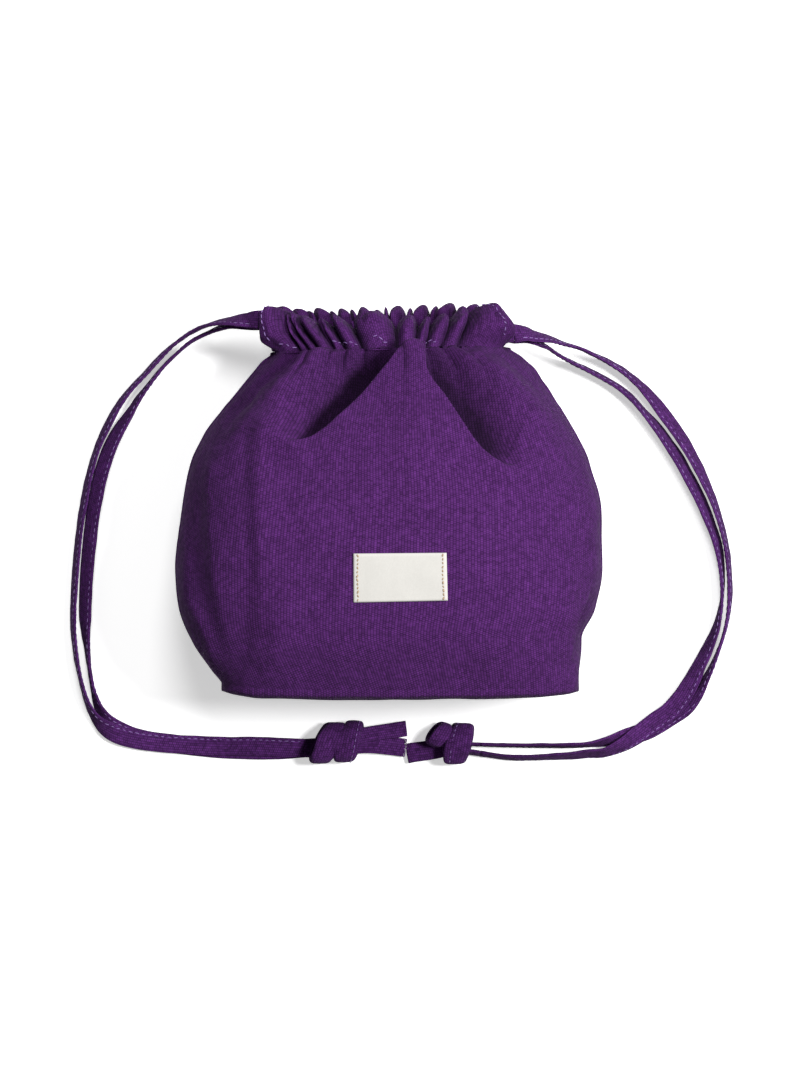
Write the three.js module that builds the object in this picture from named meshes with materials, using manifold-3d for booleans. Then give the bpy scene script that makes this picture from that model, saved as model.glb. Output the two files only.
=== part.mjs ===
// A drawstring pouch of canvas, stuffed, lying on its back with its front up.
// Millimetres. X runs across the pouch, Y from its base to its mouth, Z up from the surface it lies on.
import * as THREE from "three";
import { mergeVertices } from "three/addons/utils/BufferGeometryUtils.js";
import Module from "manifold-3d";

// Canvas and what is sewn to it
const wall = 1.4;
const gap = 0.3;
const purple = 0x3b1466;
const cream = 0xe9e4da;

// Body: its base, its belly where it is widest, and its gathered neck
const bodyLength = 165.5;
const baseY = -95.9;
const baseWidth = 169;
const baseHeight = 84;
const baseShift = 5.6;
const baseBow = 3;
const baseBowPower = 8;
const baseCornerPower = 4;
const bellyWidth = 204.4;
const bellyHeight = 106;
const neckWidth = 110;
const neckHeight = 62;
const neckLift = 16;
const neckTilt = 1.2;
const neckTiltPower = 6;
const seamHeight = 0.44;

// How far the stuffed back is pressed flat where it lies on the surface
const restPress = 5;

// Gathered casings round the mouth
const casingHeight = 24.6;
const casingHalfThickness = 4.8;
const casingEnds = 0.05;
const casingFootShare = 0.5;
const hollowFootShare = 0.12;
const pleatHeight = 5;
const innerPleatShare = 0.35;
const footPleatShare = 0.6;
const neckPleatDepth = 2.4;
const pleatStart = 0.84;
const mouthWidth = 116;
const mouthShift = -2;
const frontLean = { up: 17.3, down: 16 };
const backLean = { up: 23, down: -8 };
const sideLean = { up: 21.5, down: 0 };
const leanPower = 1.2;
const foldDepth = 6;
const foldFade = 1 / 6;

// Tapes
const tapeWidth = 9.4;
const tapeThickness = 1.6;
const tapeEdgeShare = 0.55;
const tapeSpacing = 10.05;
const channelStart = 2.2;
const turnBulge = 5;
const straightLead = 2.5;
const legSteps = 20;
const runSteps = 24;
const channelShares = [0.07, 0.18, 0.29, 0.39, 0.5, 0.61, 0.71, 0.8, 0.88, 0.95];

// Label
const labelWidth = 43.4;
const labelHeight = 22.4;
const labelThickness = 0.8;
const labelX = 5.1;
const labelY = -37.6;
const labelColumns = 6;
const labelRows = 3;

// Sections of the body from its base to its neck. along is a share of the body's length, and lift of the neck's
// lift. left, right and height go from 0 at the base or the neck, whichever is nearer, to 1 at the belly.
const sectionColumns = ["along", "left", "right", "height", "lift", "frontFullness", "backFullness"];
const sections = rowsOf(sectionColumns, [
  [0.03, 0.08, 0.05, 0.18, 0, 3.9, 4.5],
  [0.09, 0.36, 0.08, 0.46, 0, 3.5, 4.2],
  [0.165, 0.68, 0.1, 0.74, 0, 3.1, 3.8],
  [0.26, 0.93, 0.66, 0.93, 0, 2.8, 3.5],
  [0.38, 1, 0.94, 1, 0, 2.6, 3.3],
  [0.54, 0.94, 0.97, 0.95, 0, 2.4, 3.1],
  [0.68, 0.84, 0.85, 0.81, 0.02, 2.35, 3],
  [0.76, 0.715, 0.725, 0.67, 0.1, 2.3, 2.8],
  [0.83, 0.55, 0.585, 0.49, 0.26, 2.25, 2.6],
  [0.89, 0.37, 0.43, 0.33, 0.46, 2.15, 2.3],
  [0.945, 0.19, 0.27, 0.16, 0.72, 1.95, 2],
  [1, 0, 0, 0, 1, 1.75, 1.7],
]);
const bellyAlong = 0.42;

// The casing's profile. height is a share of its height, and swell of its half thickness, with 0 at its foot.
const casingProfile = rowsOf(["height", "swell"], [
  [0, 0],
  [0.138, 0.82],
  [0.62, 1],
  [1, 0.68],
]);

// Rows that fold the base in to its middle seam. toSeam is 0 on the outside and 1 at that seam.
const baseRows = rowsOf(["along", "toSeam"], [
  [0, 1],
  [0, 0.5],
  [0.008, 0.06],
]);

// Pleats from left to right. end is a share of the way round the neck, rise a share of the pleat's height.
const frontPleats = rowsOf(["end", "rise"], [
  [0.11, 0.45],
  [0.16, 0.55],
  [0.205, 0.6],
  [0.272, 0.95],
  [0.32, 0.7],
  [0.39, 0.95],
  [0.53, 1],
  [0.603, 0.85],
  [0.644, 0.6],
  [0.712, 0.75],
  [0.783, 0.85],
  [1, 0.5],
]);
const backPleats = rowsOf(["end", "rise"], [
  [0.15, 0.6],
  [0.25, 0.9],
  [0.34, 0.7],
  [0.43, 0.9],
  [0.52, 0.75],
  [0.62, 1],
  [0.73, 0.8],
  [0.84, 0.9],
  [1, 0.6],
]);

// Folds and creases of the front. x is a share of half the belly's width, y of the body's length, width of the
// belly's width, and depth of the fold's depth, above 0 for a ridge and below 0 for a valley.
const foldColumns = ["x1", "y1", "x2", "y2", "width", "depth"];
const folds = rowsOf(foldColumns, [
  [0.08, 1, -0.12, 0.87, 0.03, -0.9],
  [-0.12, 0.87, -0.4, 0.74, 0.05, -0.7],
  [0.165, 0.98, 0.18, 0.9, 0.03, -0.9],
  [0.18, 0.9, 0.57, 0.67, 0.05, -0.7],
  [-0.16, 0.97, -0.24, 0.88, 0.03, -0.7],
  [-0.24, 0.88, -0.5, 0.75, 0.045, -0.5],
  [-0.42, 0.93, -0.72, 0.77, 0.05, 0.6],
  [-0.72, 0.77, -0.82, 0.5, 0.05, 0.5],
  [0.24, 0.96, 0.66, 0.82, 0.045, 0.7],
  [0.12, 0.98, 0.12, 0.8, 0.07, 0.9],
  [-0.72, 0.68, -0.7, 0.2, 0.06, -0.4],
  [0.8, 0.4, 0.86, 0.17, 0.05, 0.5],
]);

// Routes of the free legs, chosen by hand. x and y are the tape's middle and up is its lowest edge above the
// surface. lean turns it from lying flat, 0 degrees, to its edge, 90, and on to its other face, 180.
const legColumns = ["x", "y", "up", "lean"];
const legRoutes = {
  left_leg_front: rowsOf(legColumns, [
    [-63.5, 86, 38.2, 12],
    [-70, 86, 35.6, 44],
    [-76.5, 86, 30.5, 66],
    [-83.5, 85.5, 24.5, 79],
    [-90.5, 84, 17.5, 88],
    [-98, 81, 10.5, 88],
    [-106, 76, 5.5, 83],
    [-113.5, 69.5, 2, 75],
    [-121, 61.5, 0.4, 75],
    [-128.5, 53.5, 0.2, 74],
    [-135, 44.5, 0.2, 68],
    [-140, 35, 0.2, 64],
    [-144.5, 25, 0.2, 70],
    [-148.5, 11.5, 0.2, 68],
    [-151, -1, 0.2, 65],
    [-153, -13, 0.2, 68],
    [-155.5, -38, 0.2, 68],
    [-156.5, -60, 0.2, 72],
    [-155.5, -75, 0.2, 75],
    [-152.5, -91, 0.2, 80],
    [-149, -102, 0.6, 72],
    [-145, -109, 1.4, 57],
    [-139.5, -114, 2.1, 28],
    [-132.5, -117.5, 2.1, 0],
    [-123.5, -119.5, 2.1, 0],
    [-111.5, -121, 2.1, 0],
    [-96.5, -122, 2.1, 0],
    [-81.5, -122.5, 2.1, 0],
    [-67, -122.5, 2.1, 0],
    [-54.5, -123, 2.1, 0],
    [-42.5, -123.5, 2.3, 0],
  ]),
  left_leg_back: rowsOf(legColumns, [
    [-63.5, 86, 30, 12],
    [-70.5, 85.5, 25.4, 44],
    [-77, 85, 21.5, 66],
    [-84, 83, 16.5, 79],
    [-90.5, 80.5, 11.5, 85],
    [-98, 77, 6.5, 86],
    [-105, 71.5, 3, 86],
    [-112, 65, 0.8, 82],
    [-118.5, 57, 0.2, 78],
    [-124.5, 49, 0.2, 70],
    [-129, 41.5, 0.2, 60],
    [-133.5, 33, 0.2, 48],
    [-137.5, 24, 0.2, 40],
    [-141.5, 11.5, 0.2, 38],
    [-144, -0.5, 0.2, 43],
    [-146, -13, 0.2, 42],
    [-148.5, -38, 0.2, 46],
    [-149.5, -58, 0.2, 50],
    [-149.5, -70, 0.2, 68],
    [-148.5, -84, 0.2, 82],
    [-146.5, -95, 0.2, 76],
    [-143.5, -104, 0.2, 58],
    [-138.5, -111.5, 0.2, 28],
    [-131, -116.5, 0.2, 0],
    [-121, -119.5, 0.2, 0],
    [-106.5, -121.5, 0.2, 0],
    [-94, -123, 0.2, 0],
    [-81.5, -124, 0.2, 0],
    [-69.5, -124.5, 0.2, 0],
    [-57, -124.5, 0.2, 0],
    [-42.5, -123.5, 0.2, 0],
  ]),
  right_leg_front: rowsOf(legColumns, [
    [60, 79.5, 38.2, 12],
    [65.5, 79.5, 34.6, 42],
    [71, 78.5, 29.5, 62],
    [78, 77.5, 23, 74],
    [85.5, 75.5, 15.5, 83],
    [93.5, 73.5, 9, 86],
    [101, 70.5, 4.5, 82],
    [108.5, 67, 1.5, 75],
    [116, 62.5, 0.3, 70],
    [123.5, 56, 0.2, 65],
    [129.5, 49.5, 0.2, 61],
    [135, 42.5, 0.2, 58],
    [145, 28.5, 0.2, 65],
    [154, 12, 0.2, 72],
    [161, -4.5, 0.2, 78],
    [166, -23, 0.2, 81],
    [168, -45, 0.2, 80],
    [166.5, -61, 0.2, 80],
    [161.5, -77, 0.2, 88],
    [155, -91, 0.2, 108],
    [151, -97.5, 0.2, 130],
    [146, -103, 0.2, 158],
    [139.5, -107.5, 0.2, 180],
    [132.5, -112, 0.2, 180],
    [125.5, -115.5, 0.2, 180],
    [116.5, -118, 0.2, 204],
    [107.5, -120, 0.2, 236],
    [98, -121.5, 0.2, 256],
    [86.5, -122, 0.2, 258],
    [76.5, -122, 0.2, 258],
    [64, -122, 0.2, 262],
    [44.5, -121.5, 0.6, 263],
  ]),
  right_leg_back: rowsOf(legColumns, [
    [60, 79.5, 29.4, 14],
    [65.5, 79, 24.8, 46],
    [70.5, 77, 21, 69],
    [76, 74.5, 15.5, 84],
    [82.5, 70.5, 10, 85],
    [89.5, 67, 5.5, 82],
    [97.5, 63.5, 2, 78],
    [105.5, 59.5, 0.3, 75],
    [113, 55, 0.2, 74],
    [119, 50, 0.2, 72],
    [124, 44.5, 0.2, 72],
    [129, 38, 0.2, 70],
    [138.5, 24.5, 0.2, 61],
    [148, 8, 0.2, 57],
    [156, -8.5, 0.2, 61],
    [162, -26, 0.2, 68],
    [163.5, -46, 0.2, 82],
    [161, -64, 0.2, 106],
    [156, -76, 0.3, 122],
    [152, -84, 0.8, 130],
    [148.5, -91, 1.6, 144],
    [144, -98.5, 2.2, 162],
    [138, -105.5, 2.2, 180],
    [131, -110.5, 2.2, 180],
    [123.5, -116, 2.3, 194],
    [115, -121.5, 2, 220],
    [106, -125.5, 0.8, 240],
    [98, -126, 0.3, 242],
    [89, -127, 0.2, 246],
    [80, -127.5, 0.2, 252],
    [70, -128, 0.2, 255],
    [60.5, -128, 0.2, 255],
    [44.5, -126, 0.6, 255],
  ]),
};

// Knots: a rounded core, two slanting wraps round it, and two tails. Lengths are shares of the knot's length.
const knotLength = 24;
const knotColumns = ["x", "y", "turn", "lean", "radius", "drop"];
const leftKnot = {
  center: [-26, -120.6],
  wraps: rowsOf(knotColumns, [
    [-0.21, -0.02, 18, 10, 0.36, 0],
    [0.16, 0.03, -24, -10, 0.37, 0],
  ]),
  tails: [
    [[-22, -118.5, 7], [-12, -115.6, 6.6], [-2, -114.4, 5.6], [8, -113.4, 4.4]],
    [[-22, -123, 4.6], [-12, -121.4, 4], [-2, -122.6, 3], [6, -123.6, 2.2]],
  ],
};
const rightKnot = {
  center: [30, -120.4],
  wraps: rowsOf(knotColumns, [
    [0.2, 0.02, 16, -8, 0.38, 0],
    [-0.24, 0.1, -30, 10, 0.33, 0],
  ]),
  tails: [
    [[28, -122.5, 4.4], [21, -124.6, 3.4], [15, -125.4, 2.4], [9.4, -125.6, 1.8]],
  ],
};
const knotHeight = 14.6;
const knotLift = 1;
const knotCore = { long: 0.42, wide: 0.34, high: 0.86 };
const wrapThickness = 3.1;
const wrapWidth = 8.6;
const tailThickness = 2 * tapeThickness;
const tailTilt = 0.12;
const tailSteps = 4;
const stubSteps = 3;

function rowsOf(columns, table) {
  return table.map((row) => Object.fromEntries(columns.map((name, i) => [name, row[i]])));
}

function mix(a, b, share) {
  return a + (b - a) * share;
}

function smooth(share) {
  const t = THREE.MathUtils.clamp(share, 0, 1);
  return t * t * (3 - 2 * t);
}

// Leaves out faces that have shrunk to a line, and turns a body inside out if its faces point inwards.
function tidy(positions, faces) {
  let geometry = new THREE.BufferGeometry();
  geometry.setAttribute("position", new THREE.Float32BufferAttribute(positions, 3));
  geometry.setIndex(faces);
  geometry = mergeVertices(geometry, 1e-3);
  const point = (i) => new THREE.Vector3().fromBufferAttribute(geometry.attributes.position, i);
  const index = geometry.index.array;
  const kept = [];
  let volume = 0;
  for (let i = 0; i < index.length; i += 3) {
    const [a, b, c] = index.slice(i, i + 3);
    if (a === b || b === c || c === a) continue;
    kept.push([a, b, c]);
    volume += point(a).dot(point(b).cross(point(c)));
  }
  geometry.setIndex(kept.flatMap(([a, b, c]) => (volume < 0 ? [a, c, b] : [a, b, c])));
  return geometry;
}

// A closed body through rings of points. With joined ends the last ring meets the first, as in a hollow sleeve.
function loft(rings, joined = false) {
  const count = rings[0].length;
  const corner = (ring, point) => (ring % rings.length) * count + (point % count);
  const faces = [];
  for (let ring = 0; ring < rings.length - (joined ? 0 : 1); ring++) {
    for (let point = 0; point < count; point++) {
      const a = corner(ring, point);
      const b = corner(ring, point + 1);
      const c = corner(ring + 1, point + 1);
      const d = corner(ring + 1, point);
      faces.push(a, b, c, a, c, d);
    }
  }
  for (let i = 0; !joined && i < count / 2 - 1; i++) {
    for (const [ring, flip] of [[0, true], [rings.length - 1, false]]) {
      const [a, b, c, d] = [i, i + 1, count - 2 - i, count - 1 - i].map((p) => corner(ring, p));
      if (flip) faces.push(a, c, b, a, d, c);
      else faces.push(a, b, c, a, c, d);
    }
  }
  return tidy(rings.flat().flatMap((p) => p.toArray()), faces);
}

function asMesh(name, geometry, color, roughness = 0.9) {
  const faceted = geometry.toNonIndexed();
  faceted.computeVertexNormals();
  const material = new THREE.MeshStandardMaterial({ color, roughness, metalness: 0, flatShading: true });
  const mesh = new THREE.Mesh(faceted, material);
  mesh.name = name;
  return mesh;
}

// One half of a rounded section, front or back, from the left seam to the right one, in shares of its length.
function halfSection({ left, right, seam, far, fullness }) {
  const samples = 32;
  const power = 2 / fullness;
  const points = [];
  for (let i = 0; i <= samples; i++) {
    const angle = Math.PI * (1 - i / samples);
    const across = Math.cos(angle);
    const x = Math.sign(across) * Math.abs(across) ** power * (across < 0 ? -left : right);
    points.push(new THREE.Vector2(x, mix(seam, far, Math.sin(angle) ** power)));
  }
  return new THREE.SplineCurve(points);
}

// The sizes of the body's section at a row, with its walls drawn in by inset.
function sizesAt(row, inset) {
  const low = row.along < bellyAlong;
  const endHalf = (low ? baseWidth : neckWidth) / 2;
  const endShift = low ? baseShift : 0;
  const belly = bellyWidth / 2;
  return {
    left: mix(-endHalf + endShift, -belly, row.left) + inset,
    right: mix(endHalf + endShift, belly, row.right) - inset,
    top: mix(low ? baseHeight : neckHeight, bellyHeight, row.height) - inset,
    bottom: row.lift * neckLift - restPress * (1 - row.lift) + inset,
    seam: low
      ? mix(baseHeight * 0.5, bellyHeight * seamHeight, row.height)
      : mix(mix(neckLift, neckHeight, seamHeight), bellyHeight * seamHeight, row.height),
  };
}

// How much a wall is drawn in across a row so that it keeps its thickness where the body tapers.
function slantAt(index) {
  const near = sections[Math.max(index - 1, 0)];
  const far = sections[Math.min(index + 1, sections.length - 1)];
  const reach = (row) => (sizesAt(row, 0).right - sizesAt(row, 0).left) / 2;
  return Math.hypot(1, (reach(far) - reach(near)) / ((far.along - near.along) * bodyLength));
}

function foldAt(x, y) {
  const place = new THREE.Vector2(x / (bellyWidth / 2), (y - baseY) / bodyLength);
  const stretch = new THREE.Vector2(bellyWidth / 2, bodyLength);
  let depth = 0;
  for (const fold of folds) {
    const from = new THREE.Vector2(fold.x1, fold.y1).multiply(stretch);
    const run = new THREE.Vector2(fold.x2, fold.y2).multiply(stretch).sub(from);
    const offset = place.clone().multiply(stretch).sub(from);
    const share = THREE.MathUtils.clamp(offset.dot(run) / run.lengthSq(), 0, 1);
    const away = offset.addScaledVector(run, -share).length() / (fold.width * bellyWidth);
    depth += fold.depth * foldDepth * Math.exp(-away * away);
  }
  return depth;
}

// Columns round the neck: four to each pleat, each with how far the pleat stands out there.
function columnsOf(pleats) {
  const columns = [{ round: 0, rise: 0 }];
  let start = 0;
  for (const pleat of pleats) {
    for (const share of [0.25, 0.5, 0.75, 1]) {
      columns.push({ round: mix(start, pleat.end, share), rise: pleat.rise * Math.sin(Math.PI * share) ** 2 });
    }
    start = pleat.end;
  }
  return columns;
}

// One row of a panel's outer or inner points, left to right.
function panelRow(index, side, columns, inset, base) {
  const row = sections[index];
  const drawnIn = inset * slantAt(index);
  const sizes = sizesAt(row, drawnIn);
  const seam = sizes.seam + (side * gap) / 2;
  const far = side > 0 ? sizes.top : sizes.bottom;
  const fullness = side > 0 ? row.frontFullness : row.backFullness;
  const curve = halfSection({ left: sizes.left, right: sizes.right, seam, far, fullness });
  const along = base ? base.along : row.along;
  const toSeam = base ? base.toSeam : 0;
  const pleatFade = smooth((along - pleatStart) / (1 - pleatStart));
  return columns.map(({ round, rise }) => {
    const flat = curve.getPointAt(round);
    const tangent = curve.getTangentAt(round);
    const fromSeam = smooth(Math.min(round, 1 - round) / foldFade);
    const acrossShare = flat.x / (flat.x < 0 ? -sizes.left : sizes.right);
    let y = baseY + along * bodyLength + neckTilt * along ** neckTiltPower * acrossShare;
    y += baseBow * (1 - along) ** baseBowPower * acrossShare ** baseCornerPower;
    let out = neckPleatDepth * rise * pleatFade;
    if (side > 0) out += foldAt(flat.x, y) * fromSeam * (1 - toSeam);
    const x = flat.x - side * tangent.y * out;
    const z = mix(flat.y + side * tangent.x * out, seam, toSeam);
    const floor = inset > 0 ? wall : 0;
    return new THREE.Vector3(x, Math.max(y, baseY + inset), Math.max(z, floor));
  });
}

function panel(side, pleats) {
  const columns = columnsOf(pleats);
  const ring = (index, base) => [
    ...panelRow(index, side, columns, 0, base),
    ...panelRow(index, side, columns, wall, base).reverse(),
  ];
  return loft([...baseRows.map((base) => ring(0, base)), ...sections.map((row, index) => ring(index))]);
}

// The line that a casing is sewn along, and how it stands and leans at each share of the way round.
function casingFrame(side, round) {
  const sizes = sizesAt(sections.at(-1), wall / 2);
  const seam = sizes.seam + (side * gap) / 2;
  const lower = halfSection({
    left: sizes.left,
    right: sizes.right,
    seam,
    far: side > 0 ? sizes.top : sizes.bottom,
    fullness: side > 0 ? sections.at(-1).frontFullness : sections.at(-1).backFullness,
  });
  const at = lower.getPointAt(round);
  const tangent = lower.getTangentAt(round);
  const acrossShare = at.x / (neckWidth / 2);
  const foot = new THREE.Vector3(at.x, baseY + bodyLength + gap + neckTilt * acrossShare, at.y);
  const lean = side > 0 ? frontLean : backLean;
  const middle = Math.sin(Math.PI * round) ** leanPower;
  const stand = new THREE.Vector3(
    at.x * (mouthWidth / neckWidth - 1) + mouthShift,
    mix(sideLean.up, lean.up, middle),
    -mix(sideLean.down, lean.down, middle),
  ).normalize();
  const outward = new THREE.Vector3(-side * tangent.y, 0, side * tangent.x);
  const along = new THREE.Vector3().crossVectors(stand, outward).normalize();
  const out = new THREE.Vector3().crossVectors(along, stand).normalize();
  return { foot, stand, out, outward };
}

// A hollow sleeve, sewn to the neck along its foot and folded over at its top.
function casing(side, pleats) {
  const profile = (frame, rise, inset) => {
    const outer = casingHalfThickness + pleatHeight * rise - inset;
    const inner = casingHalfThickness + pleatHeight * innerPleatShare * rise - inset;
    const foot = casingHalfThickness * (inset ? hollowFootShare : casingFootShare);
    const shape = casingProfile.map(({ height, swell }) => {
      const up = THREE.MathUtils.clamp(height * casingHeight, inset, casingHeight - inset);
      return swell ? [up, outer * swell, inner * swell] : [up, foot, foot];
    });
    const start = frame.foot.clone().addScaledVector(frame.outward, neckPleatDepth * rise * footPleatShare);
    const at = (height, away) =>
      start
        .clone()
        .addScaledVector(frame.stand, height)
        .addScaledVector(height > 0 ? frame.out : frame.outward, away);
    return [
      ...shape.map(([height, away]) => at(height, away)),
      ...shape.map(([height, , away]) => at(height, -away)).reverse(),
    ];
  };
  const frames = columnsOf(pleats).map(({ round, rise }) => ({
    frame: casingFrame(side, mix(casingEnds, 1 - casingEnds, round)),
    rise,
  }));
  const outside = frames.map(({ frame, rise }) => profile(frame, rise, 0));
  const inside = frames.map(({ frame, rise }) => profile(frame, rise, wall));
  return loft([...outside, ...inside.reverse()], true);
}

// A tape's section: a flat oval of eight sides.
function tapeSection(width, thickness) {
  const w = width / 2;
  const t = thickness / 2;
  const edge = t * tapeEdgeShare;
  const corners = [[w, -edge], [w, edge], [w - t, t], [t - w, t], [-w, edge], [-w, -edge], [t - w, -t], [w - t, -t]];
  return new THREE.Shape(corners.map(([x, y]) => new THREE.Vector2(x, y)));
}

// An extruded tape of unit length, bent onto frames of a middle point, a width direction and a face direction.
function bentTape(frameAt, steps, width, thickness) {
  const straight = new THREE.ExtrudeGeometry(tapeSection(width, thickness), {
    depth: 1,
    steps,
    bevelEnabled: false,
    curveSegments: 1,
  });
  const position = straight.attributes.position;
  for (let i = 0; i < position.count; i++) {
    const { middle, across, face } = frameAt(position.getZ(i));
    const moved = middle.clone().addScaledVector(across, position.getX(i)).addScaledVector(face, position.getY(i));
    position.setXYZ(i, ...moved.toArray());
  }
  return tidy(Array.from(position.array), Array.from({ length: position.count }, (unused, i) => i));
}

// Frames along a smooth line through points, each with its own width direction.
function framesAlong(points, widths) {
  const line = new THREE.CatmullRomCurve3(points, false, "centripetal");
  line.arcLengthDivisions = 40 * points.length;
  return (share) => {
    const t = line.getUtoTmapping(share);
    const place = Math.min(t, 0.99999) * (points.length - 1);
    const index = Math.floor(place);
    const tangent = line.getTangent(t);
    const across = widths[index].clone().lerp(widths[index + 1], place - index);
    across.addScaledVector(tangent, -across.dot(tangent)).normalize();
    return { middle: line.getPoint(t), across, face: new THREE.Vector3().crossVectors(tangent, across) };
  };
}

// Middle points and width directions of a leg, worked out from its route.
function legFrames(route) {
  const up = new THREE.Vector3(0, 0, 1);
  const outwardSign = Math.sign(route[0].x) * -1;
  const points = route.map(({ x, y, up: lowest, lean }) => {
    const angle = THREE.MathUtils.degToRad(lean);
    const half = (tapeWidth / 2) * Math.abs(Math.sin(angle)) + (tapeThickness / 2) * Math.abs(Math.cos(angle));
    return new THREE.Vector3(x, y, lowest + half);
  });
  const widths = route.map(({ lean }, i) => {
    const angle = THREE.MathUtils.degToRad(lean);
    const run = points[Math.min(i + 1, points.length - 1)].clone().sub(points[Math.max(i - 1, 0)]).setZ(0);
    const outward = new THREE.Vector3().crossVectors(run, up).normalize().multiplyScalar(outwardSign);
    return outward.multiplyScalar(Math.cos(angle)).addScaledVector(up, -Math.sin(angle));
  });
  return { points, widths };
}

function leg(name) {
  const { points, widths } = legFrames(legRoutes[name]);
  return bentTape(framesAlong(points, widths), legSteps, tapeWidth, tapeThickness);
}

// The hidden stretch of a tape: in at its own end of the front casing, round the far end and back.
function run(side, lane) {
  const height = channelStart + tapeWidth / 2 + lane * tapeSpacing;
  const points = [];
  const widths = [];
  const add = (point, width) => {
    points.push(point);
    widths.push(width);
  };
  const inCasing = (casingSide, share) => {
    const frame = casingFrame(casingSide, side < 0 ? share : 1 - share);
    add(frame.foot.clone().addScaledVector(frame.stand, height), frame.stand);
  };
  const ends = [`${side < 0 ? "left" : "right"}_leg_front`, `${side < 0 ? "left" : "right"}_leg_back`];
  const [front, back] = ends.map((name) => legFrames(legRoutes[name]));
  const start = (from) => {
    const inward = from.points[0].clone().sub(from.points[1]).normalize();
    const places = [gap, gap + straightLead];
    if (from === back) places.reverse();
    places.forEach((place) => add(from.points[0].clone().addScaledVector(inward, place), from.widths[0]));
  };
  start(front);
  channelShares.forEach((share) => inCasing(1, share));
  const far = points.at(-1).clone();
  const near = casingFrame(-1, side < 0 ? channelShares.at(-1) : 1 - channelShares.at(-1));
  const under = near.foot.clone().addScaledVector(near.stand, height);
  const turn = far.clone().lerp(under, 0.5);
  turn.x -= side * turnBulge;
  add(turn, new THREE.Vector3(0, 1, 0));
  [...channelShares].reverse().forEach((share) => inCasing(-1, share));
  start(back);
  return bentTape(framesAlong(points, widths), runSteps, tapeWidth, tapeThickness);
}

// The height of the front panel's facets over a point, found on the loft's own columns and rows.
const frontRows = sections.map((row, index) => panelRow(index, 1, columnsOf(frontPleats), 0));

function frontHeight(x, y) {
  const inside = -1e-6;
  for (let j = 0; j < frontRows.length - 1; j++) {
    for (let i = 0; i < frontRows[j].length - 1; i++) {
      const corners = [frontRows[j][i], frontRows[j][i + 1], frontRows[j + 1][i + 1], frontRows[j + 1][i]];
      for (const [a, b, c] of [[0, 1, 2], [0, 2, 3]].map((t) => t.map((k) => corners[k]))) {
        const area = (b.x - a.x) * (c.y - a.y) - (c.x - a.x) * (b.y - a.y);
        const v = ((x - a.x) * (c.y - a.y) - (c.x - a.x) * (y - a.y)) / area;
        const w = ((b.x - a.x) * (y - a.y) - (x - a.x) * (b.y - a.y)) / area;
        if (Math.min(v, w, 1 - v - w) >= inside) return a.z + v * (b.z - a.z) + w * (c.z - a.z);
      }
    }
  }
  return bellyHeight;
}

function label() {
  const surface = (x, y, lift) => new THREE.Vector3(x, y, frontHeight(x, y) + gap + lift);
  const across = (share) => labelX + (share - 0.5) * labelWidth;
  const xs = Array.from({ length: labelColumns + 1 }, (unused, i) => across(i / labelColumns));
  const rings = [];
  for (let j = 0; j <= labelRows; j++) {
    const y = labelY + (j / labelRows - 0.5) * labelHeight;
    const [top, under] = [labelThickness, 0].map((lift) => xs.map((x) => surface(x, y, lift)));
    rings.push([...top, ...under.reverse()]);
  }
  return loft(rings);
}

// Joining of closed bodies
const wasm = await Module();
wasm.setup();

function solidOf(geometry) {
  const bare = geometry.clone();
  bare.deleteAttribute("normal");
  bare.deleteAttribute("uv");
  const merged = mergeVertices(bare, 1e-3);
  return new wasm.Manifold(
    new wasm.Mesh({
      numProp: 3,
      vertProperties: merged.attributes.position.array,
      triVerts: new Uint32Array(merged.index.array),
    }),
  );
}

function geometryOf(solid) {
  const mesh = solid.getMesh();
  const geometry = new THREE.BufferGeometry();
  geometry.setAttribute("position", new THREE.BufferAttribute(mesh.vertProperties, 3));
  geometry.setIndex(new THREE.BufferAttribute(mesh.triVerts, 1));
  return geometry;
}

// A knot of the two legs, with its wraps and tails in one body that starts where the legs end.
function knot({ center, wraps, tails }, legNames) {
  const [x, y] = center;
  const middle = knotHeight / 2;
  const level = middle + knotLift;
  const core = new THREE.SphereGeometry(1, 9, 6);
  core.scale(knotLength * knotCore.long, knotLength * knotCore.wide, middle * knotCore.high);
  core.translate(x, y, level);
  let solid = solidOf(core);
  for (const wrap of wraps) {
    const radius = wrap.radius * knotLength;
    const ring = new THREE.TorusGeometry(radius, wrapThickness / 2, 6, 12);
    ring.scale(1, 1, wrapWidth / wrapThickness);
    ring.rotateY(Math.PI / 2);
    ring.scale(1, 1, (middle - wrapThickness / 2) / radius);
    ring.rotateY(THREE.MathUtils.degToRad(wrap.lean));
    ring.rotateZ(THREE.MathUtils.degToRad(wrap.turn));
    ring.translate(x + wrap.x * knotLength, y + wrap.y * knotLength, level + wrap.drop * knotLength);
    solid = solid.add(solidOf(ring));
  }
  for (const tail of tails) {
    const points = tail.map((p) => new THREE.Vector3(...p));
    const widths = points.map(() => new THREE.Vector3(0, 1, tailTilt));
    const band = bentTape(framesAlong(points, widths), tailSteps, tapeWidth, tailThickness);
    solid = solid.add(solidOf(band));
  }
  for (const name of legNames) {
    const { points, widths } = legFrames(legRoutes[name]);
    const end = points.at(-1);
    const onward = end.clone().sub(points.at(-2)).normalize();
    const into = new THREE.Vector3(x, y, end.z);
    const stub = [gap, gap + straightLead].map((place) => end.clone().addScaledVector(onward, place));
    const stubWidths = [widths.at(-1), widths.at(-1), widths.at(-1)];
    const band = bentTape(framesAlong([...stub, into], stubWidths), stubSteps, tapeWidth, tapeThickness);
    solid = solid.add(solidOf(band));
  }
  return geometryOf(solid);
}

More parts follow.
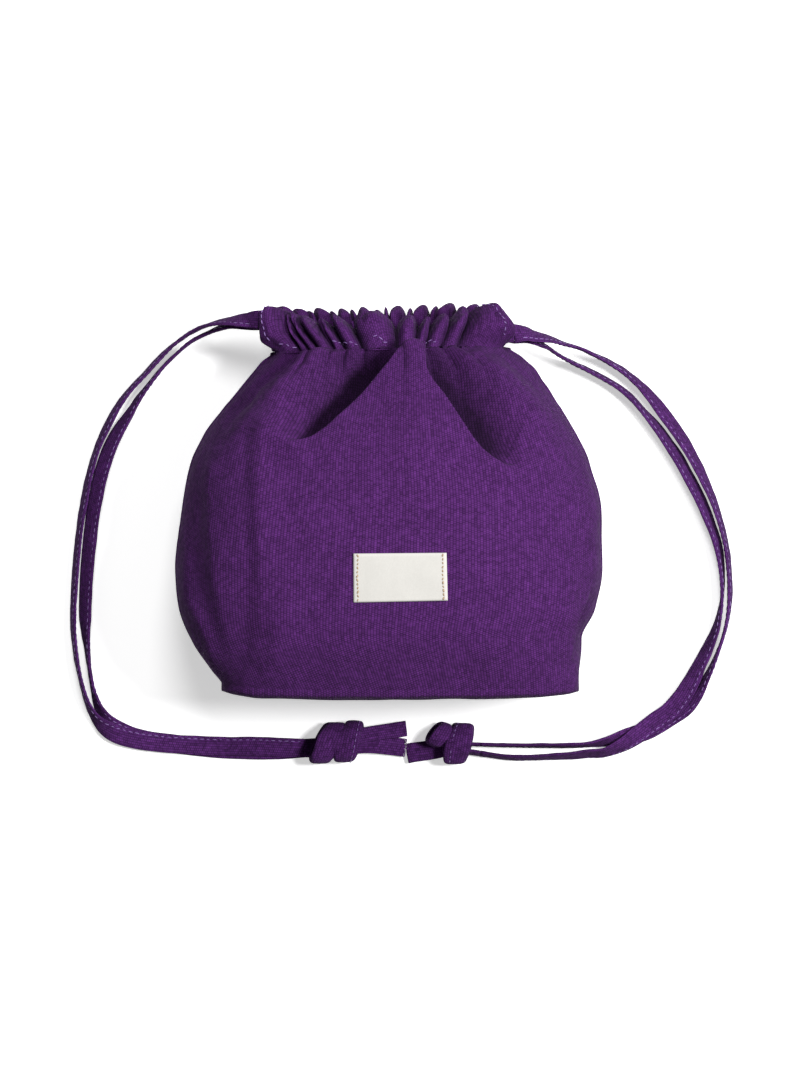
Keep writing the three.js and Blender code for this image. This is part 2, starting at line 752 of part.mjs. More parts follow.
const pouch = new THREE.Group();
pouch.add(asMesh("front_panel", panel(1, frontPleats), purple));
pouch.add(asMesh("back_panel", panel(-1, backPleats), purple));
pouch.add(asMesh("front_casing", casing(1, frontPleats), purple));
pouch.add(asMesh("back_casing", casing(-1, backPleats), purple));
pouch.add(asMesh("left_drawstring_run", run(-1, 1), purple));
pouch.add(asMesh("right_drawstring_run", run(1, 0), purple));
pouch.add(asMesh("label", label(), cream));

const cords = new THREE.Group();
for (const name of Object.keys(legRoutes)) cords.add(asMesh(name, leg(name), purple));
cords.add(asMesh("left_knot", knot(leftKnot, ["left_leg_front", "left_leg_back"]), purple));
cords.add(asMesh("right_knot", knot(rightKnot, ["right_leg_front", "right_leg_back"]), purple));

const model = new THREE.Group();
model.add(pouch, cords);

export default model;
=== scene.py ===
# %% [markdown]
# # A canvas drawstring pouch
# The real pouch is two panels of heavy purple canvas sewn at the sides and folded into a box base, with a
# gathered casing round the mouth and two knotted tapes. It lies on its back, stuffed, and is seen from above.
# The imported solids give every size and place. This script builds the looks over them, a piece at a time.

# %% Load the frame
import math

import bmesh
import bpy
import numpy as np
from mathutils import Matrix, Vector, noise
from mathutils.bvhtree import BVHTree


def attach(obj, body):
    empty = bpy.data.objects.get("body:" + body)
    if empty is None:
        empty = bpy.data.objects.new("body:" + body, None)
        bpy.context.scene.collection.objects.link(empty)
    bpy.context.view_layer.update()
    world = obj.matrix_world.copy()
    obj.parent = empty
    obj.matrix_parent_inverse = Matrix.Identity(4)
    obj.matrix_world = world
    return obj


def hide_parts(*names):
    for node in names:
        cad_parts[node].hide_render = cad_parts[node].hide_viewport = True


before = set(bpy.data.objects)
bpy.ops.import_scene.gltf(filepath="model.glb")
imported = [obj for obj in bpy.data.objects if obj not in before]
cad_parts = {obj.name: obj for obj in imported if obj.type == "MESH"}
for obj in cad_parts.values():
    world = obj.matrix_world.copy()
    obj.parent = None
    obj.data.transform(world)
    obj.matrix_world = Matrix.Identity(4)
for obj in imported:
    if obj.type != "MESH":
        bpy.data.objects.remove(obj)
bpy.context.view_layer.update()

MM = 0.001

# %% [markdown]
# ## The camera
# The picture looks straight down from well above, so that the pouch shows with hardly any perspective. An
# orthographic camera would do nearly as well, but the belly stands 100 mm nearer than the floor, and a long
# lens at 1.6 m draws that difference rightly.

# %% Camera
CAMERA_AT = (4.95, -17.3, 1600.0)
LENS = 108.95
scene = bpy.context.scene
camera_data = bpy.data.cameras.new("camera")
camera_data.sensor_fit = "VERTICAL"
camera_data.sensor_width = 36
camera_data.sensor_height = 36
camera_data.lens = LENS
camera = bpy.data.objects.new("camera", camera_data)
camera.location = Vector(CAMERA_AT) * MM
scene.collection.objects.link(camera)
scene.camera = camera
print("camera at", tuple(round(c, 4) for c in camera.location))

# %% [markdown]
# ## Small helpers
# Every cloth piece here is a grid of points worked out with numpy, in millimetres. These helpers turn grids
# into faces and put several parts into one mesh. The flat position of the cloth, in metres, goes into a UV
# map called weave, so that the threads follow the folds.

# %% Grids and meshes
def grid_faces(rows, columns, start=0, round_columns=False):
    faces = []
    for row in range(rows - 1):
        for column in range(columns - (0 if round_columns else 1)):
            right = (column + 1) % columns
            a, b = start + row * columns, start + (row + 1) * columns
            faces.append((a + column, a + right, b + right, b + column))
    return faces


def add_mesh(name, points, faces, material, uv=None, folds=None):
    mesh = bpy.data.meshes.new(name)
    mesh.from_pydata((np.asarray(points, float) * MM).tolist(), [], faces)
    if uv is not None:
        layer = mesh.uv_layers.new(name="weave")
        corners = np.empty(len(mesh.loops), np.int32)
        mesh.loops.foreach_get("vertex_index", corners)
        layer.data.foreach_set("uv", (np.asarray(uv) * MM)[corners].astype(np.float32).ravel())
    # The fold attribute is painted shade: the cloth finish darkens its colour by it.
    if folds is not None:
        mesh.attributes.new("fold", "FLOAT", "POINT").data.foreach_set("value", np.asarray(folds, np.float32))
    shell = bmesh.new()
    shell.from_mesh(mesh)
    bmesh.ops.recalc_face_normals(shell, faces=shell.faces)
    shell.to_mesh(mesh)
    shell.free()
    mesh.shade_smooth()
    mesh.materials.append(material)
    piece = bpy.data.objects.new(name, mesh)
    scene.collection.objects.link(piece)
    return piece


def joined(parts):
    points, faces, uvs, start = [], [], [], 0
    for part_points, part_faces, part_uv in parts:
        points.append(part_points)
        uvs.append(part_uv)
        faces += [tuple(start + i for i in face) for face in part_faces]
        start += len(part_points)
    return np.vstack(points), faces, np.vstack(uvs)


def rows_of(columns, table):
    return {name: np.array([row[i] for row in table], float) for i, name in enumerate(columns)}


def mix(a, b, share):
    return a + (b - a) * share


def ease(share):
    t = np.clip(share, 0, 1)
    return t * t * (3 - 2 * t)


def unit(vectors):
    return vectors / np.maximum(np.linalg.norm(vectors, axis=-1, keepdims=True), 1e-9)


def cloth_noise(points, size, seed):
    places = np.asarray(points, float).reshape(-1, 3) / size + seed * 17.3
    values = np.array([noise.noise(Vector(place)) for place in places])
    return values.reshape(np.asarray(points).shape[:-1])


# %% [markdown]
# ## Weave and wear
# Heavy canvas has fat warp ribs with the weft crossing over every second one. An image of cloth would tile
# and blur, so a node group makes the threads from the weave UV map: a rib, the floats on it, a slow slub
# along each thread and a random fleck for every float. A second group fades the cloth slightly in patches
# and on its ridges.

# %% Node helpers
def add_node(tree, kind, **settings):
    made = tree.nodes.new(kind)
    made.location = (180 * (len(tree.nodes) % 9), -220 * (len(tree.nodes) // 9))
    for name, value in settings.items():
        setattr(made, name, value)
    return made


def connect(tree, value, socket):
    if isinstance(value, bpy.types.NodeSocket):
        tree.links.new(value, socket)
    else:
        socket.default_value = value


def maths(tree, operation, *values):
    made = add_node(tree, "ShaderNodeMath", operation=operation)
    for value, socket in zip(values, made.inputs):
        connect(tree, value, socket)
    return made.outputs[0]


def blend_colours(tree, factor, first, second, way="MIX"):
    made = add_node(tree, "ShaderNodeMix", data_type="RGBA", blend_type=way)
    connect(tree, factor, made.inputs["Factor"])
    connect(tree, first, made.inputs[6])
    connect(tree, second, made.inputs[7])
    return made.outputs[2]


def new_group(name, inputs, outputs):
    group = bpy.data.node_groups.new(name, "ShaderNodeTree")
    for socket, kind, value in inputs:
        made = group.interface.new_socket(name=socket, in_out="INPUT", socket_type=kind)
        if value is not None:
            made.default_value = value
    for socket, kind in outputs:
        group.interface.new_socket(name=socket, in_out="OUTPUT", socket_type=kind)
    return group, add_node(group, "NodeGroupInput"), add_node(group, "NodeGroupOutput")


# %% Weave group
weave, weave_in, weave_out = new_group(
    "canvas weave",
    [
        ("Cloth Position", "NodeSocketVector", None),
        ("Rib Pitch", "NodeSocketFloat", 0.00155),
        ("Weft Pitch", "NodeSocketFloat", 0.0013),
    ],
    [
        ("Height", "NodeSocketFloat"),
        ("Slub", "NodeSocketFloat"),
        ("Fleck", "NodeSocketFloat"),
    ],
)
cloth_place = add_node(weave, "ShaderNodeSeparateXYZ")
weave.links.new(weave_in.outputs["Cloth Position"], cloth_place.inputs[0])
rib_count = maths(weave, "DIVIDE", cloth_place.outputs[0], weave_in.outputs["Rib Pitch"])
weft_count = maths(weave, "DIVIDE", cloth_place.outputs[1], weave_in.outputs["Weft Pitch"])
rib_index = maths(weave, "FLOOR", rib_count)
across_rib = maths(weave, "SUBTRACT", maths(weave, "FRACT", rib_count), 0.5)
rib_round = maths(weave, "SUBTRACT", 1.0,
                  maths(weave, "MULTIPLY", 4.0,
                        maths(weave, "POWER", maths(weave, "ABSOLUTE", across_rib), 2.0)))
shifted_weft = maths(weave, "ADD", weft_count, maths(weave, "MULTIPLY", rib_index, 0.5))
float_wave = maths(weave, "COSINE", maths(weave, "MULTIPLY", shifted_weft, math.tau))
float_height = maths(weave, "MULTIPLY_ADD", float_wave, 0.3, 0.7)
weave.links.new(maths(weave, "MULTIPLY", maths(weave, "POWER", maths(weave, "MAXIMUM", rib_round, 0.0), 0.6),
                      float_height), weave_out.inputs["Height"])
thread_place = add_node(weave, "ShaderNodeCombineXYZ")
weave.links.new(maths(weave, "MULTIPLY", rib_index, 3.7), thread_place.inputs[0])
weave.links.new(maths(weave, "MULTIPLY", weft_count, 0.16), thread_place.inputs[1])
slub = add_node(weave, "ShaderNodeTexNoise", noise_dimensions="2D")
slub.inputs["Scale"].default_value = 1.0
slub.inputs["Detail"].default_value = 2.0
weave.links.new(thread_place.outputs[0], slub.inputs["Vector"])
weave.links.new(slub.outputs[0], weave_out.inputs["Slub"])
float_cell = add_node(weave, "ShaderNodeCombineXYZ")
weave.links.new(rib_index, float_cell.inputs[0])
weave.links.new(maths(weave, "FLOOR", shifted_weft), float_cell.inputs[1])
fleck = add_node(weave, "ShaderNodeTexWhiteNoise", noise_dimensions="2D")
weave.links.new(float_cell.outputs[0], fleck.inputs["Vector"])
weave.links.new(fleck.outputs["Value"], weave_out.inputs["Fleck"])
print("weave group nodes:", len(weave.nodes))

# %% Wear group
wear, wear_in, wear_out = new_group(
    "cloth wear",
    [("Patch Size", "NodeSocketFloat", 0.03), ("Ridge Fade", "NodeSocketFloat", 1.0)],
    [("Patches", "NodeSocketFloat"), ("Ridges", "NodeSocketFloat")],
)
where = add_node(wear, "ShaderNodeTexCoord")
patch_noise = add_node(wear, "ShaderNodeTexNoise")
patch_noise.inputs["Detail"].default_value = 3.0
wear.links.new(where.outputs["Object"], patch_noise.inputs["Vector"])
wear.links.new(maths(wear, "DIVIDE", 1.0, wear_in.outputs["Patch Size"]), patch_noise.inputs["Scale"])
wear.links.new(patch_noise.outputs[0], wear_out.inputs["Patches"])
pointed = add_node(wear, "ShaderNodeNewGeometry")
ridge_range = add_node(wear, "ShaderNodeMapRange")
ridge_range.inputs["From Min"].default_value = 0.5
ridge_range.inputs["From Max"].default_value = 0.56
wear.links.new(pointed.outputs["Pointiness"], ridge_range.inputs["Value"])
wear.links.new(maths(wear, "MULTIPLY", ridge_range.outputs[0], wear_in.outputs["Ridge Fade"]),
               wear_out.inputs["Ridges"])
print("wear group nodes:", len(wear.nodes))

# %% [markdown]
# ## Cloth and thread finishes
# The panels, casings and tapes are cut from one cloth, so one function makes the finish of each with its own
# thread spacing. Its colour holds painted shade and light: the gaps between ribs are painted nearly black as
# shade, the floats are painted lighter as a painted highlight, and the fold value paints shade into valleys
# and casings. A little sheen stands for the fibre ends. Stitches are a lilac thread, with a darker copy of it
# as painted shade on one row, and the label is a fine cream cloth with tan stitches.

# %% Cloth finish
def group_node(tree, group, **values):
    made = add_node(tree, "ShaderNodeGroup", node_tree=group)
    for name, value in values.items():
        connect(tree, value, made.inputs[name.replace("_", " ")])
    return made

# The share by which the cloth is darkened where its fold value is 1: painted shade in the valleys, between the
# gathers, along the base and inside the casings.
painted_fold_shade = 0.7


def woven_finish(name, painted_shade_tone, lit, rib, weft, relief, roughness=0.95, sheen=0.03, patchiness=0.16,
                 fleckiness=0.5):
    material = bpy.data.materials.new(name)
    material.use_nodes = True
    tree = material.node_tree
    shader = tree.nodes["Principled BSDF"]
    place = add_node(tree, "ShaderNodeUVMap", uv_map="weave")
    threads = group_node(tree, weave, Cloth_Position=place.outputs[0], Rib_Pitch=rib, Weft_Pitch=weft)
    worn = group_node(tree, wear, Patch_Size=0.035, Ridge_Fade=0.35)
    height, slubs, flecks = (threads.outputs[k] for k in ("Height", "Slub", "Fleck"))
    # Painted shade and highlight: the colour runs from the shaded tone in the rib gaps to the lit tone on the
    # floats.
    colour = blend_colours(tree, height, (*painted_shade_tone, 1), (*lit, 1))
    tone = maths(tree, "MULTIPLY_ADD", slubs, fleckiness * 1.4, 1 - fleckiness * 0.7)
    tone = maths(tree, "MULTIPLY", tone, maths(tree, "MULTIPLY_ADD", flecks, fleckiness, 1 - fleckiness / 2))
    tone = maths(tree, "MULTIPLY", tone,
                 maths(tree, "MULTIPLY_ADD", worn.outputs["Patches"], patchiness, 1 - patchiness / 2))
    tone = maths(tree, "ADD", tone, maths(tree, "MULTIPLY", worn.outputs["Ridges"], 0.3))
    # Painted shade: the fold attribute darkens the colour in valleys, between gathers, along the base and in
    # casings.
    fold = add_node(tree, "ShaderNodeAttribute", attribute_name="fold")
    tone = maths(tree, "MULTIPLY", tone,
                 maths(tree, "MULTIPLY_ADD", fold.outputs["Fac"], -painted_fold_shade, 1.0))
    grey = add_node(tree, "ShaderNodeCombineXYZ")
    for socket in grey.inputs:
        tree.links.new(tone, socket)
    shaded = blend_colours(tree, 1.0, colour, grey.outputs[0], way="MULTIPLY")
    tree.links.new(shaded, shader.inputs["Base Color"])
    rough = maths(tree, "MULTIPLY_ADD", flecks, -0.12, roughness)
    tree.links.new(rough, shader.inputs["Roughness"])
    bump = add_node(tree, "ShaderNodeBump")
    bump.inputs["Distance"].default_value = relief
    bump.inputs["Strength"].default_value = 0.8
    thread_height = maths(tree, "ADD", height, maths(tree, "MULTIPLY", flecks, 0.35))
    tree.links.new(thread_height, bump.inputs["Height"])
    tree.links.new(bump.outputs[0], shader.inputs["Normal"])
    shader.inputs["Specular IOR Level"].default_value = 0.12
    shader.inputs["Sheen Weight"].default_value = sheen
    shader.inputs["Sheen Roughness"].default_value = 0.6
    shader.inputs["Sheen Tint"].default_value = (0.75, 0.55, 0.9, 1)
    return material


purple_canvas = woven_finish("purple canvas", (0.02, 0.0045, 0.036), (0.088, 0.018, 0.138), 0.00142, 0.00105,
                             0.00022)
tape_canvas = woven_finish("purple tape", (0.022, 0.005, 0.04), (0.09, 0.02, 0.142), 0.0012, 0.001, 0.0002,
                           fleckiness=0.62)
label_cloth = woven_finish(
    "cream label cloth", (0.5, 0.485, 0.455), (0.57, 0.56, 0.53), 0.0005, 0.0005, 0.00003, sheen=0.02,
    patchiness=0.04, fleckiness=0.04
)

# %% Thread finish
def thread_finish(name, colour, roughness=0.55):
    material = bpy.data.materials.new(name)
    material.use_nodes = True
    tree = material.node_tree
    shader = tree.nodes["Principled BSDF"]
    where = add_node(tree, "ShaderNodeTexCoord")
    twist = add_node(tree, "ShaderNodeTexNoise")
    twist.inputs["Scale"].default_value = 1400
    tree.links.new(where.outputs["Object"], twist.inputs["Vector"])
    shadow = tuple(c * 0.6 for c in colour)
    tree.links.new(blend_colours(tree, twist.outputs[0], (*shadow, 1), (*colour, 1)),
                   shader.inputs["Base Color"])
    bump = add_node(tree, "ShaderNodeBump")
    bump.inputs["Distance"].default_value = 0.00008
    tree.links.new(twist.outputs[0], bump.inputs["Height"])
    tree.links.new(bump.outputs[0], shader.inputs["Normal"])
    shader.inputs["Roughness"].default_value = roughness
    return material


lilac_thread = thread_finish("lilac thread", (0.30, 0.17, 0.48))
# A darker copy of the lilac thread, as painted shade on the stitch row at the back casing's foot.
painted_shade_lilac_thread = thread_finish("lilac thread with painted shade", (0.16, 0.07, 0.28))
tan_thread = thread_finish("tan thread", (0.50, 0.36, 0.22))
white_thread = thread_finish("white thread", (0.85, 0.83, 0.88))
print("finishes:", [m.name for m in bpy.data.materials][-7:])

# %% [markdown]
# ## The tapes
# Each drawstring is a strip of the same canvas, folded to 9.4 mm and stitched along its inner edge. A curve
# with a flat bevel would twist where it likes, so the tape is swept here: a flat oval section is carried
# along a smooth line, and its lean is given at every point of the route, from lying flat to standing on its
# edge. The routes repeat those of the solids.

# %% Tape sizes and routes
TAPE_WIDTH = 9.4
TAPE_THICK = 1.6
leg_columns = ("x", "y", "up", "lean")
leg_routes = {
    "left_leg_front": [
        (-63.5, 86, 38.2, 12), (-70, 86, 35.6, 44), (-76.5, 86, 30.5, 66), (-83.5, 85.5, 24.5, 79),
        (-90.5, 84, 17.5, 88), (-98, 81, 10.5, 88), (-106, 76, 5.5, 83), (-113.5, 69.5, 2, 75),
        (-121, 61.5, 0.4, 75), (-128.5, 53.5, 0.2, 74), (-135, 44.5, 0.2, 68), (-140, 35, 0.2, 64),
        (-144.5, 25, 0.2, 70), (-148.5, 11.5, 0.2, 68), (-151, -1, 0.2, 65), (-153, -13, 0.2, 68),
        (-155.5, -38, 0.2, 68), (-156.5, -60, 0.2, 72), (-155.5, -75, 0.2, 75), (-152.5, -91, 0.2, 80),
        (-149, -102, 0.6, 72), (-145, -109, 1.4, 57), (-139.5, -114, 2.1, 28), (-132.5, -117.5, 2.1, 0),
        (-123.5, -119.5, 2.1, 0), (-111.5, -121, 2.1, 0), (-96.5, -122, 2.1, 0), (-81.5, -122.5, 2.1, 0),
        (-67, -122.5, 2.1, 0), (-54.5, -123, 2.1, 0), (-42.5, -123.5, 2.3, 0),
    ],
    "left_leg_back": [
        (-63.5, 86, 30, 12), (-70.5, 85.5, 25.4, 44), (-77, 85, 21.5, 66), (-84, 83, 16.5, 79),
        (-90.5, 80.5, 11.5, 85), (-98, 77, 6.5, 86), (-105, 71.5, 3, 86), (-112, 65, 0.8, 82),
        (-118.5, 57, 0.2, 78), (-124.5, 49, 0.2, 70), (-129, 41.5, 0.2, 60), (-134.5, 33, 0.2, 46),
        (-138.9, 24, 0.2, 38), (-143, 11.5, 0.2, 36), (-145.5, -0.5, 0.2, 39), (-147.5, -13, 0.2, 39),
        (-149.9, -38, 0.2, 42), (-150.7, -58, 0.2, 47), (-150, -70, 0.2, 66), (-148.5, -84, 0.2, 82),
        (-146.5, -95, 0.2, 76), (-143.5, -104, 0.2, 58), (-138.5, -111.5, 0.2, 28), (-131, -116.5, 0.2, 0),
        (-121, -119.5, 0.2, 0), (-106.5, -121.5, 0.2, 0), (-94, -123, 0.2, 0), (-81.5, -124, 0.2, 0),
        (-69.5, -124.5, 0.2, 0), (-57, -124.5, 0.2, 0), (-42.5, -123.5, 0.2, 0),
    ],
    "right_leg_front": [
        (60, 79.5, 38.2, 12), (65.5, 79.5, 34.6, 42), (71, 78.5, 29.5, 62), (78, 77.5, 23, 74),
        (85.5, 75.5, 15.5, 83), (93.5, 73.5, 9, 86), (101, 70.5, 4.5, 82), (108.5, 67, 1.5, 75),
        (116, 62.5, 0.3, 70), (123.5, 56, 0.2, 65), (129.5, 49.5, 0.2, 54), (135, 42.5, 0.2, 46),
        (145, 28.5, 0.2, 49), (154, 12, 0.2, 58), (161, -4.5, 0.2, 68), (166, -23, 0.2, 73),
        (168, -45, 0.2, 74), (166.5, -61, 0.2, 80), (161.5, -77, 0.2, 88), (155, -91, 0.2, 108),
        (151, -97.5, 0.2, 130), (146, -103, 0.2, 158), (139.5, -107.5, 0.2, 180), (132.5, -112, 0.2, 180),
        (125.5, -115.5, 0.2, 180), (116.5, -118, 0.2, 204), (107.5, -120, 0.2, 236), (98, -121.5, 0.2, 256),
        (86.5, -122, 0.2, 258), (76.5, -122, 0.2, 258), (64, -122, 0.2, 262), (44.5, -121.5, 0.6, 263),
    ],
    "right_leg_back": [
        (60, 79.5, 29.4, 14), (65.5, 79, 24.8, 46), (70.5, 77, 21, 69), (76, 74.5, 15.5, 84),
        (82.5, 70.5, 10, 85), (89.5, 67, 5.5, 82), (97.5, 63.5, 2, 78), (105.5, 59.5, 0.3, 75),
        (113, 55, 0.2, 74), (119, 50, 0.2, 72), (124, 44.5, 0.2, 72), (129.4, 38.3, 0.2, 62),
        (139.3, 24.8, 0.2, 52), (148.9, 8.3, 0.2, 50), (156.8, -8.4, 0.2, 54), (162.6, -26, 0.2, 62),
        (164.2, -46, 0.2, 80), (161, -64, 0.2, 106), (156, -76, 0.3, 122), (152, -84, 0.8, 130),
        (148.5, -91, 1.6, 144), (144, -98.5, 2.2, 162), (138, -105.5, 2.2, 180), (131, -110.5, 2.2, 180),
        (123.5, -116, 2.3, 194), (115, -121.5, 2, 220), (106, -125.5, 0.8, 240), (98, -126, 0.3, 242),
        (89, -127, 0.2, 246), (80, -127.5, 0.2, 252), (70, -128, 0.2, 255), (60.5, -128, 0.2, 255),
        (44.5, -126, 0.6, 255),
    ],
}
print("route points:", {name: len(route) for name, route in leg_routes.items()})

# %% Smooth line and tape sweep
def smooth_line(points, step=1.2, per_span=30):
    """Evenly spaced points of a centripetal curve through the given ones, and the place of each among them."""
    p = np.asarray(points, float)
    p = np.vstack([2 * p[0] - p[1], p, 2 * p[-1] - p[-2]])
    line, place = [], []
    for i in range(1, len(p) - 2):
        knots = [0.0]
        for a, b in zip(p[i - 1:i + 2], p[i:i + 3]):
            knots.append(knots[-1] + max(np.linalg.norm(b - a), 1e-6) ** 0.5)
        t0, t1, t2, t3 = knots
        share = np.linspace(0, 1, per_span, endpoint=(i == len(p) - 3))
        t = (t1 + (t2 - t1) * share)[:, None]
        a1 = (t1 - t) / (t1 - t0) * p[i - 1] + (t - t0) / (t1 - t0) * p[i]
        a2 = (t2 - t) / (t2 - t1) * p[i] + (t - t1) / (t2 - t1) * p[i + 1]
        a3 = (t3 - t) / (t3 - t2) * p[i + 1] + (t - t2) / (t3 - t2) * p[i + 2]
        b1 = (t2 - t) / (t2 - t0) * a1 + (t - t0) / (t2 - t0) * a2
        b2 = (t3 - t) / (t3 - t1) * a2 + (t - t1) / (t3 - t1) * a3
        line.append((t2 - t) / (t2 - t1) * b1 + (t - t1) / (t2 - t1) * b2)
        place.append(i - 1 + share)
    line, place = np.vstack(line), np.concatenate(place)
    along = np.concatenate([[0], np.cumsum(np.linalg.norm(np.diff(line, axis=0), axis=1))])
    at = np.linspace(0, along[-1], max(3, int(round(along[-1] / step)) + 1))
    even = np.stack([np.interp(at, along, line[:, k]) for k in range(3)], axis=1)
    return even, np.interp(at, along, place), at


def leg_frames(route):
    """Middle points and width directions of a leg at its route's points."""
    r = rows_of(leg_columns, route)
    lean = np.radians(r["lean"])
    half = TAPE_WIDTH / 2 * abs(np.sin(lean)) + TAPE_THICK / 2 * abs(np.cos(lean))
    points = np.stack([r["x"], r["y"], r["up"] + half], axis=1)
    before = np.maximum(np.arange(len(points)) - 1, 0)
    after = np.minimum(np.arange(len(points)) + 1, len(points) - 1)
    run = points[after] - points[before]
    run[:, 2] = 0
    outward = unit(np.cross(run, (0, 0, 1))) * -np.sign(points[0, 0])
    up = np.array([0, 0, 1.0])
    return points, outward * np.cos(lean)[:, None] - up * np.sin(lean)[:, None]


def sweep(line, across, width, thick, seed, closed=False, sides=20, rough=1.0):
    """A soft flat band along a line. Width and thickness may change along it."""
    count = len(line)
    if closed:
        tangent = unit(np.roll(line, -1, 0) - np.roll(line, 1, 0))
    else:
        tangent = unit(np.gradient(line, axis=0))
    across = unit(across - (across * tangent).sum(1, keepdims=True) * tangent)
    face = np.cross(tangent, across)
    angle = np.arange(sides) / sides * math.tau
    x = np.sign(np.cos(angle)) * abs(np.cos(angle)) ** 0.42
    y = np.sign(np.sin(angle)) * abs(np.sin(angle)) ** 0.75
    along = np.concatenate([[0], np.cumsum(np.linalg.norm(np.diff(line, axis=0), axis=1))])
    width = np.broadcast_to(width, count)[:, None] / 2
    thick = np.broadcast_to(thick, count)[:, None] / 2
    wave = cloth_noise(np.stack([along, along * 0 + seed, along * 0], axis=1), 9.0, seed)[:, None]
    flutter = cloth_noise(np.stack([along, along * 0, along * 0 + seed], axis=1), 4.0, seed + 3)[:, None]
    x_now = x[None] * width * (1 + 0.035 * rough * wave)
    puff = 1 + 0.18 * (1 - x[None] ** 2) + 0.25 * rough * flutter
    y_now = y[None] * thick * puff + 0.22 * rough * wave * x[None] ** 2
    points = line[:, None] + across[:, None] * x_now[..., None] + face[:, None] * y_now[..., None]
    girth = np.concatenate([[0], np.cumsum(np.hypot(np.diff(x), np.diff(y) * 0.2))]) * float(np.mean(width))
    uv = np.stack(np.broadcast_arrays(girth[None] + seed * 3.1, along[:, None]), axis=-1)
    faces = grid_faces(count, sides, round_columns=True)
    if closed:
        last = (count - 1) * sides
        faces += [(last + i, last + (i + 1) % sides, (i + 1) % sides, i) for i in range(sides)]
    else:
        faces += [tuple(range(sides)), tuple(range((count - 1) * sides, count * sides))]
    return points.reshape(-1, 3), faces, uv.reshape(-1, 2)


# %% Free legs
legs, leg_lines = {}, {}
for seed, (name, route) in enumerate(leg_routes.items()):
    middles, widths = leg_frames(route)
    line, place, along = smooth_line(middles)
    across = np.stack([np.interp(place, np.arange(len(widths)), widths[:, k]) for k in range(3)], axis=1)
    across = unit(across - (across * unit(np.gradient(line, axis=0))).sum(1, keepdims=True)
                  * unit(np.gradient(line, axis=0)))
    points, faces, uv = sweep(line, across, TAPE_WIDTH, TAPE_THICK, seed)
    points[:, 2] = np.maximum(points[:, 2], 0.05)
    leg = add_mesh(name + "_tape", points, faces, tape_canvas, uv)
    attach(leg, "root")
    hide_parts(name)
    legs[name], leg_lines[name] = leg, (line, across, along)
print("leg lengths, mm:", {name: round(float(line[2][-1]), 1) for name, line in leg_lines.items()})

# %% [markdown]
# ## Stitches
# A stitch is a short bright bead of thread, and a seam is hundreds of them at one pitch. Drawing each one by
# hand would be endless, and a dashed texture would be flat. Geometry Nodes follow a line, place a small bead
# at each pitch, turn it along the line with a little wobble, and join the result into a plain mesh.

# %% Stitch nodes
def stitch_tree():
    tree = bpy.data.node_groups.new("row of stitches", "GeometryNodeTree")
    tree.interface.new_socket(name="Geometry", in_out="INPUT", socket_type="NodeSocketGeometry")
    for name, value in (("Pitch", 0.0032), ("Stitch Length", 0.0022), ("Thread Width", 0.00055),
                        ("Wobble", 0.1)):
        tree.interface.new_socket(name=name, in_out="INPUT",
                                  socket_type="NodeSocketFloat").default_value = value
    tree.interface.new_socket(name="Seed", in_out="INPUT", socket_type="NodeSocketInt").default_value = 1
    tree.interface.new_socket(name="Thread", in_out="INPUT", socket_type="NodeSocketMaterial")
    tree.interface.new_socket(name="Geometry", in_out="OUTPUT", socket_type="NodeSocketGeometry")
    given, made = add_node(tree, "NodeGroupInput"), add_node(tree, "NodeGroupOutput")
    to_curve = add_node(tree, "GeometryNodeMeshToCurve")
    to_points = add_node(tree, "GeometryNodeCurveToPoints", mode="LENGTH")
    bead = add_node(tree, "GeometryNodeMeshUVSphere")
    bead.inputs["Segments"].default_value = 6
    bead.inputs["Rings"].default_value = 5
    bead.inputs["Radius"].default_value = 0.5
    turn = add_node(tree, "FunctionNodeAlignRotationToVector", axis="Z")
    wobble = add_node(tree, "FunctionNodeRandomValue", data_type="FLOAT_VECTOR")
    size = add_node(tree, "ShaderNodeCombineXYZ")
    jitter = add_node(tree, "FunctionNodeRandomValue", data_type="FLOAT")
    jitter.inputs[2].default_value, jitter.inputs[3].default_value = 0.8, 1.15
    sized = add_node(tree, "ShaderNodeVectorMath", operation="SCALE")
    spin = add_node(tree, "FunctionNodeRotateRotation", rotation_space="LOCAL")
    place = add_node(tree, "GeometryNodeInstanceOnPoints")
    real = add_node(tree, "GeometryNodeRealizeInstances")
    smooth = add_node(tree, "GeometryNodeSetShadeSmooth")
    finish = add_node(tree, "GeometryNodeSetMaterial")
    link = tree.links.new
    link(given.outputs["Geometry"], to_curve.inputs["Mesh"])
    link(to_curve.outputs["Curve"], to_points.inputs["Curve"])
    link(given.outputs["Pitch"], to_points.inputs["Length"])
    link(to_points.outputs["Tangent"], turn.inputs["Vector"])
    negative = maths(tree, "MULTIPLY", given.outputs["Wobble"], -1.0)
    for socket, value in ((0, negative), (1, given.outputs["Wobble"])):
        spread = add_node(tree, "ShaderNodeCombineXYZ")
        link(value, spread.inputs[0])
        link(value, spread.inputs[1])
        link(spread.outputs[0], wobble.inputs[socket])
    link(given.outputs["Seed"], wobble.inputs["Seed"])
    link(given.outputs["Seed"], jitter.inputs["Seed"])
    link(given.outputs["Thread Width"], size.inputs[0])
    link(given.outputs["Thread Width"], size.inputs[1])
    link(given.outputs["Stitch Length"], size.inputs[2])
    link(size.outputs[0], sized.inputs[0])
    link(jitter.outputs[1], sized.inputs["Scale"])
    link(turn.outputs["Rotation"], spin.inputs["Rotation"])
    link(wobble.outputs[0], spin.inputs["Rotate By"])
    link(to_points.outputs["Points"], place.inputs["Points"])
    link(bead.outputs["Mesh"], place.inputs["Instance"])
    link(spin.outputs["Rotation"], place.inputs["Rotation"])
    link(sized.outputs[0], place.inputs["Scale"])
    link(place.outputs["Instances"], real.inputs["Geometry"])
    link(real.outputs["Geometry"], smooth.inputs["Geometry"])
    link(smooth.outputs["Geometry"], finish.inputs["Geometry"])
    link(given.outputs["Thread"], finish.inputs["Material"])
    link(finish.outputs["Geometry"], made.inputs["Geometry"])
    return tree


row_of_stitches = stitch_tree()


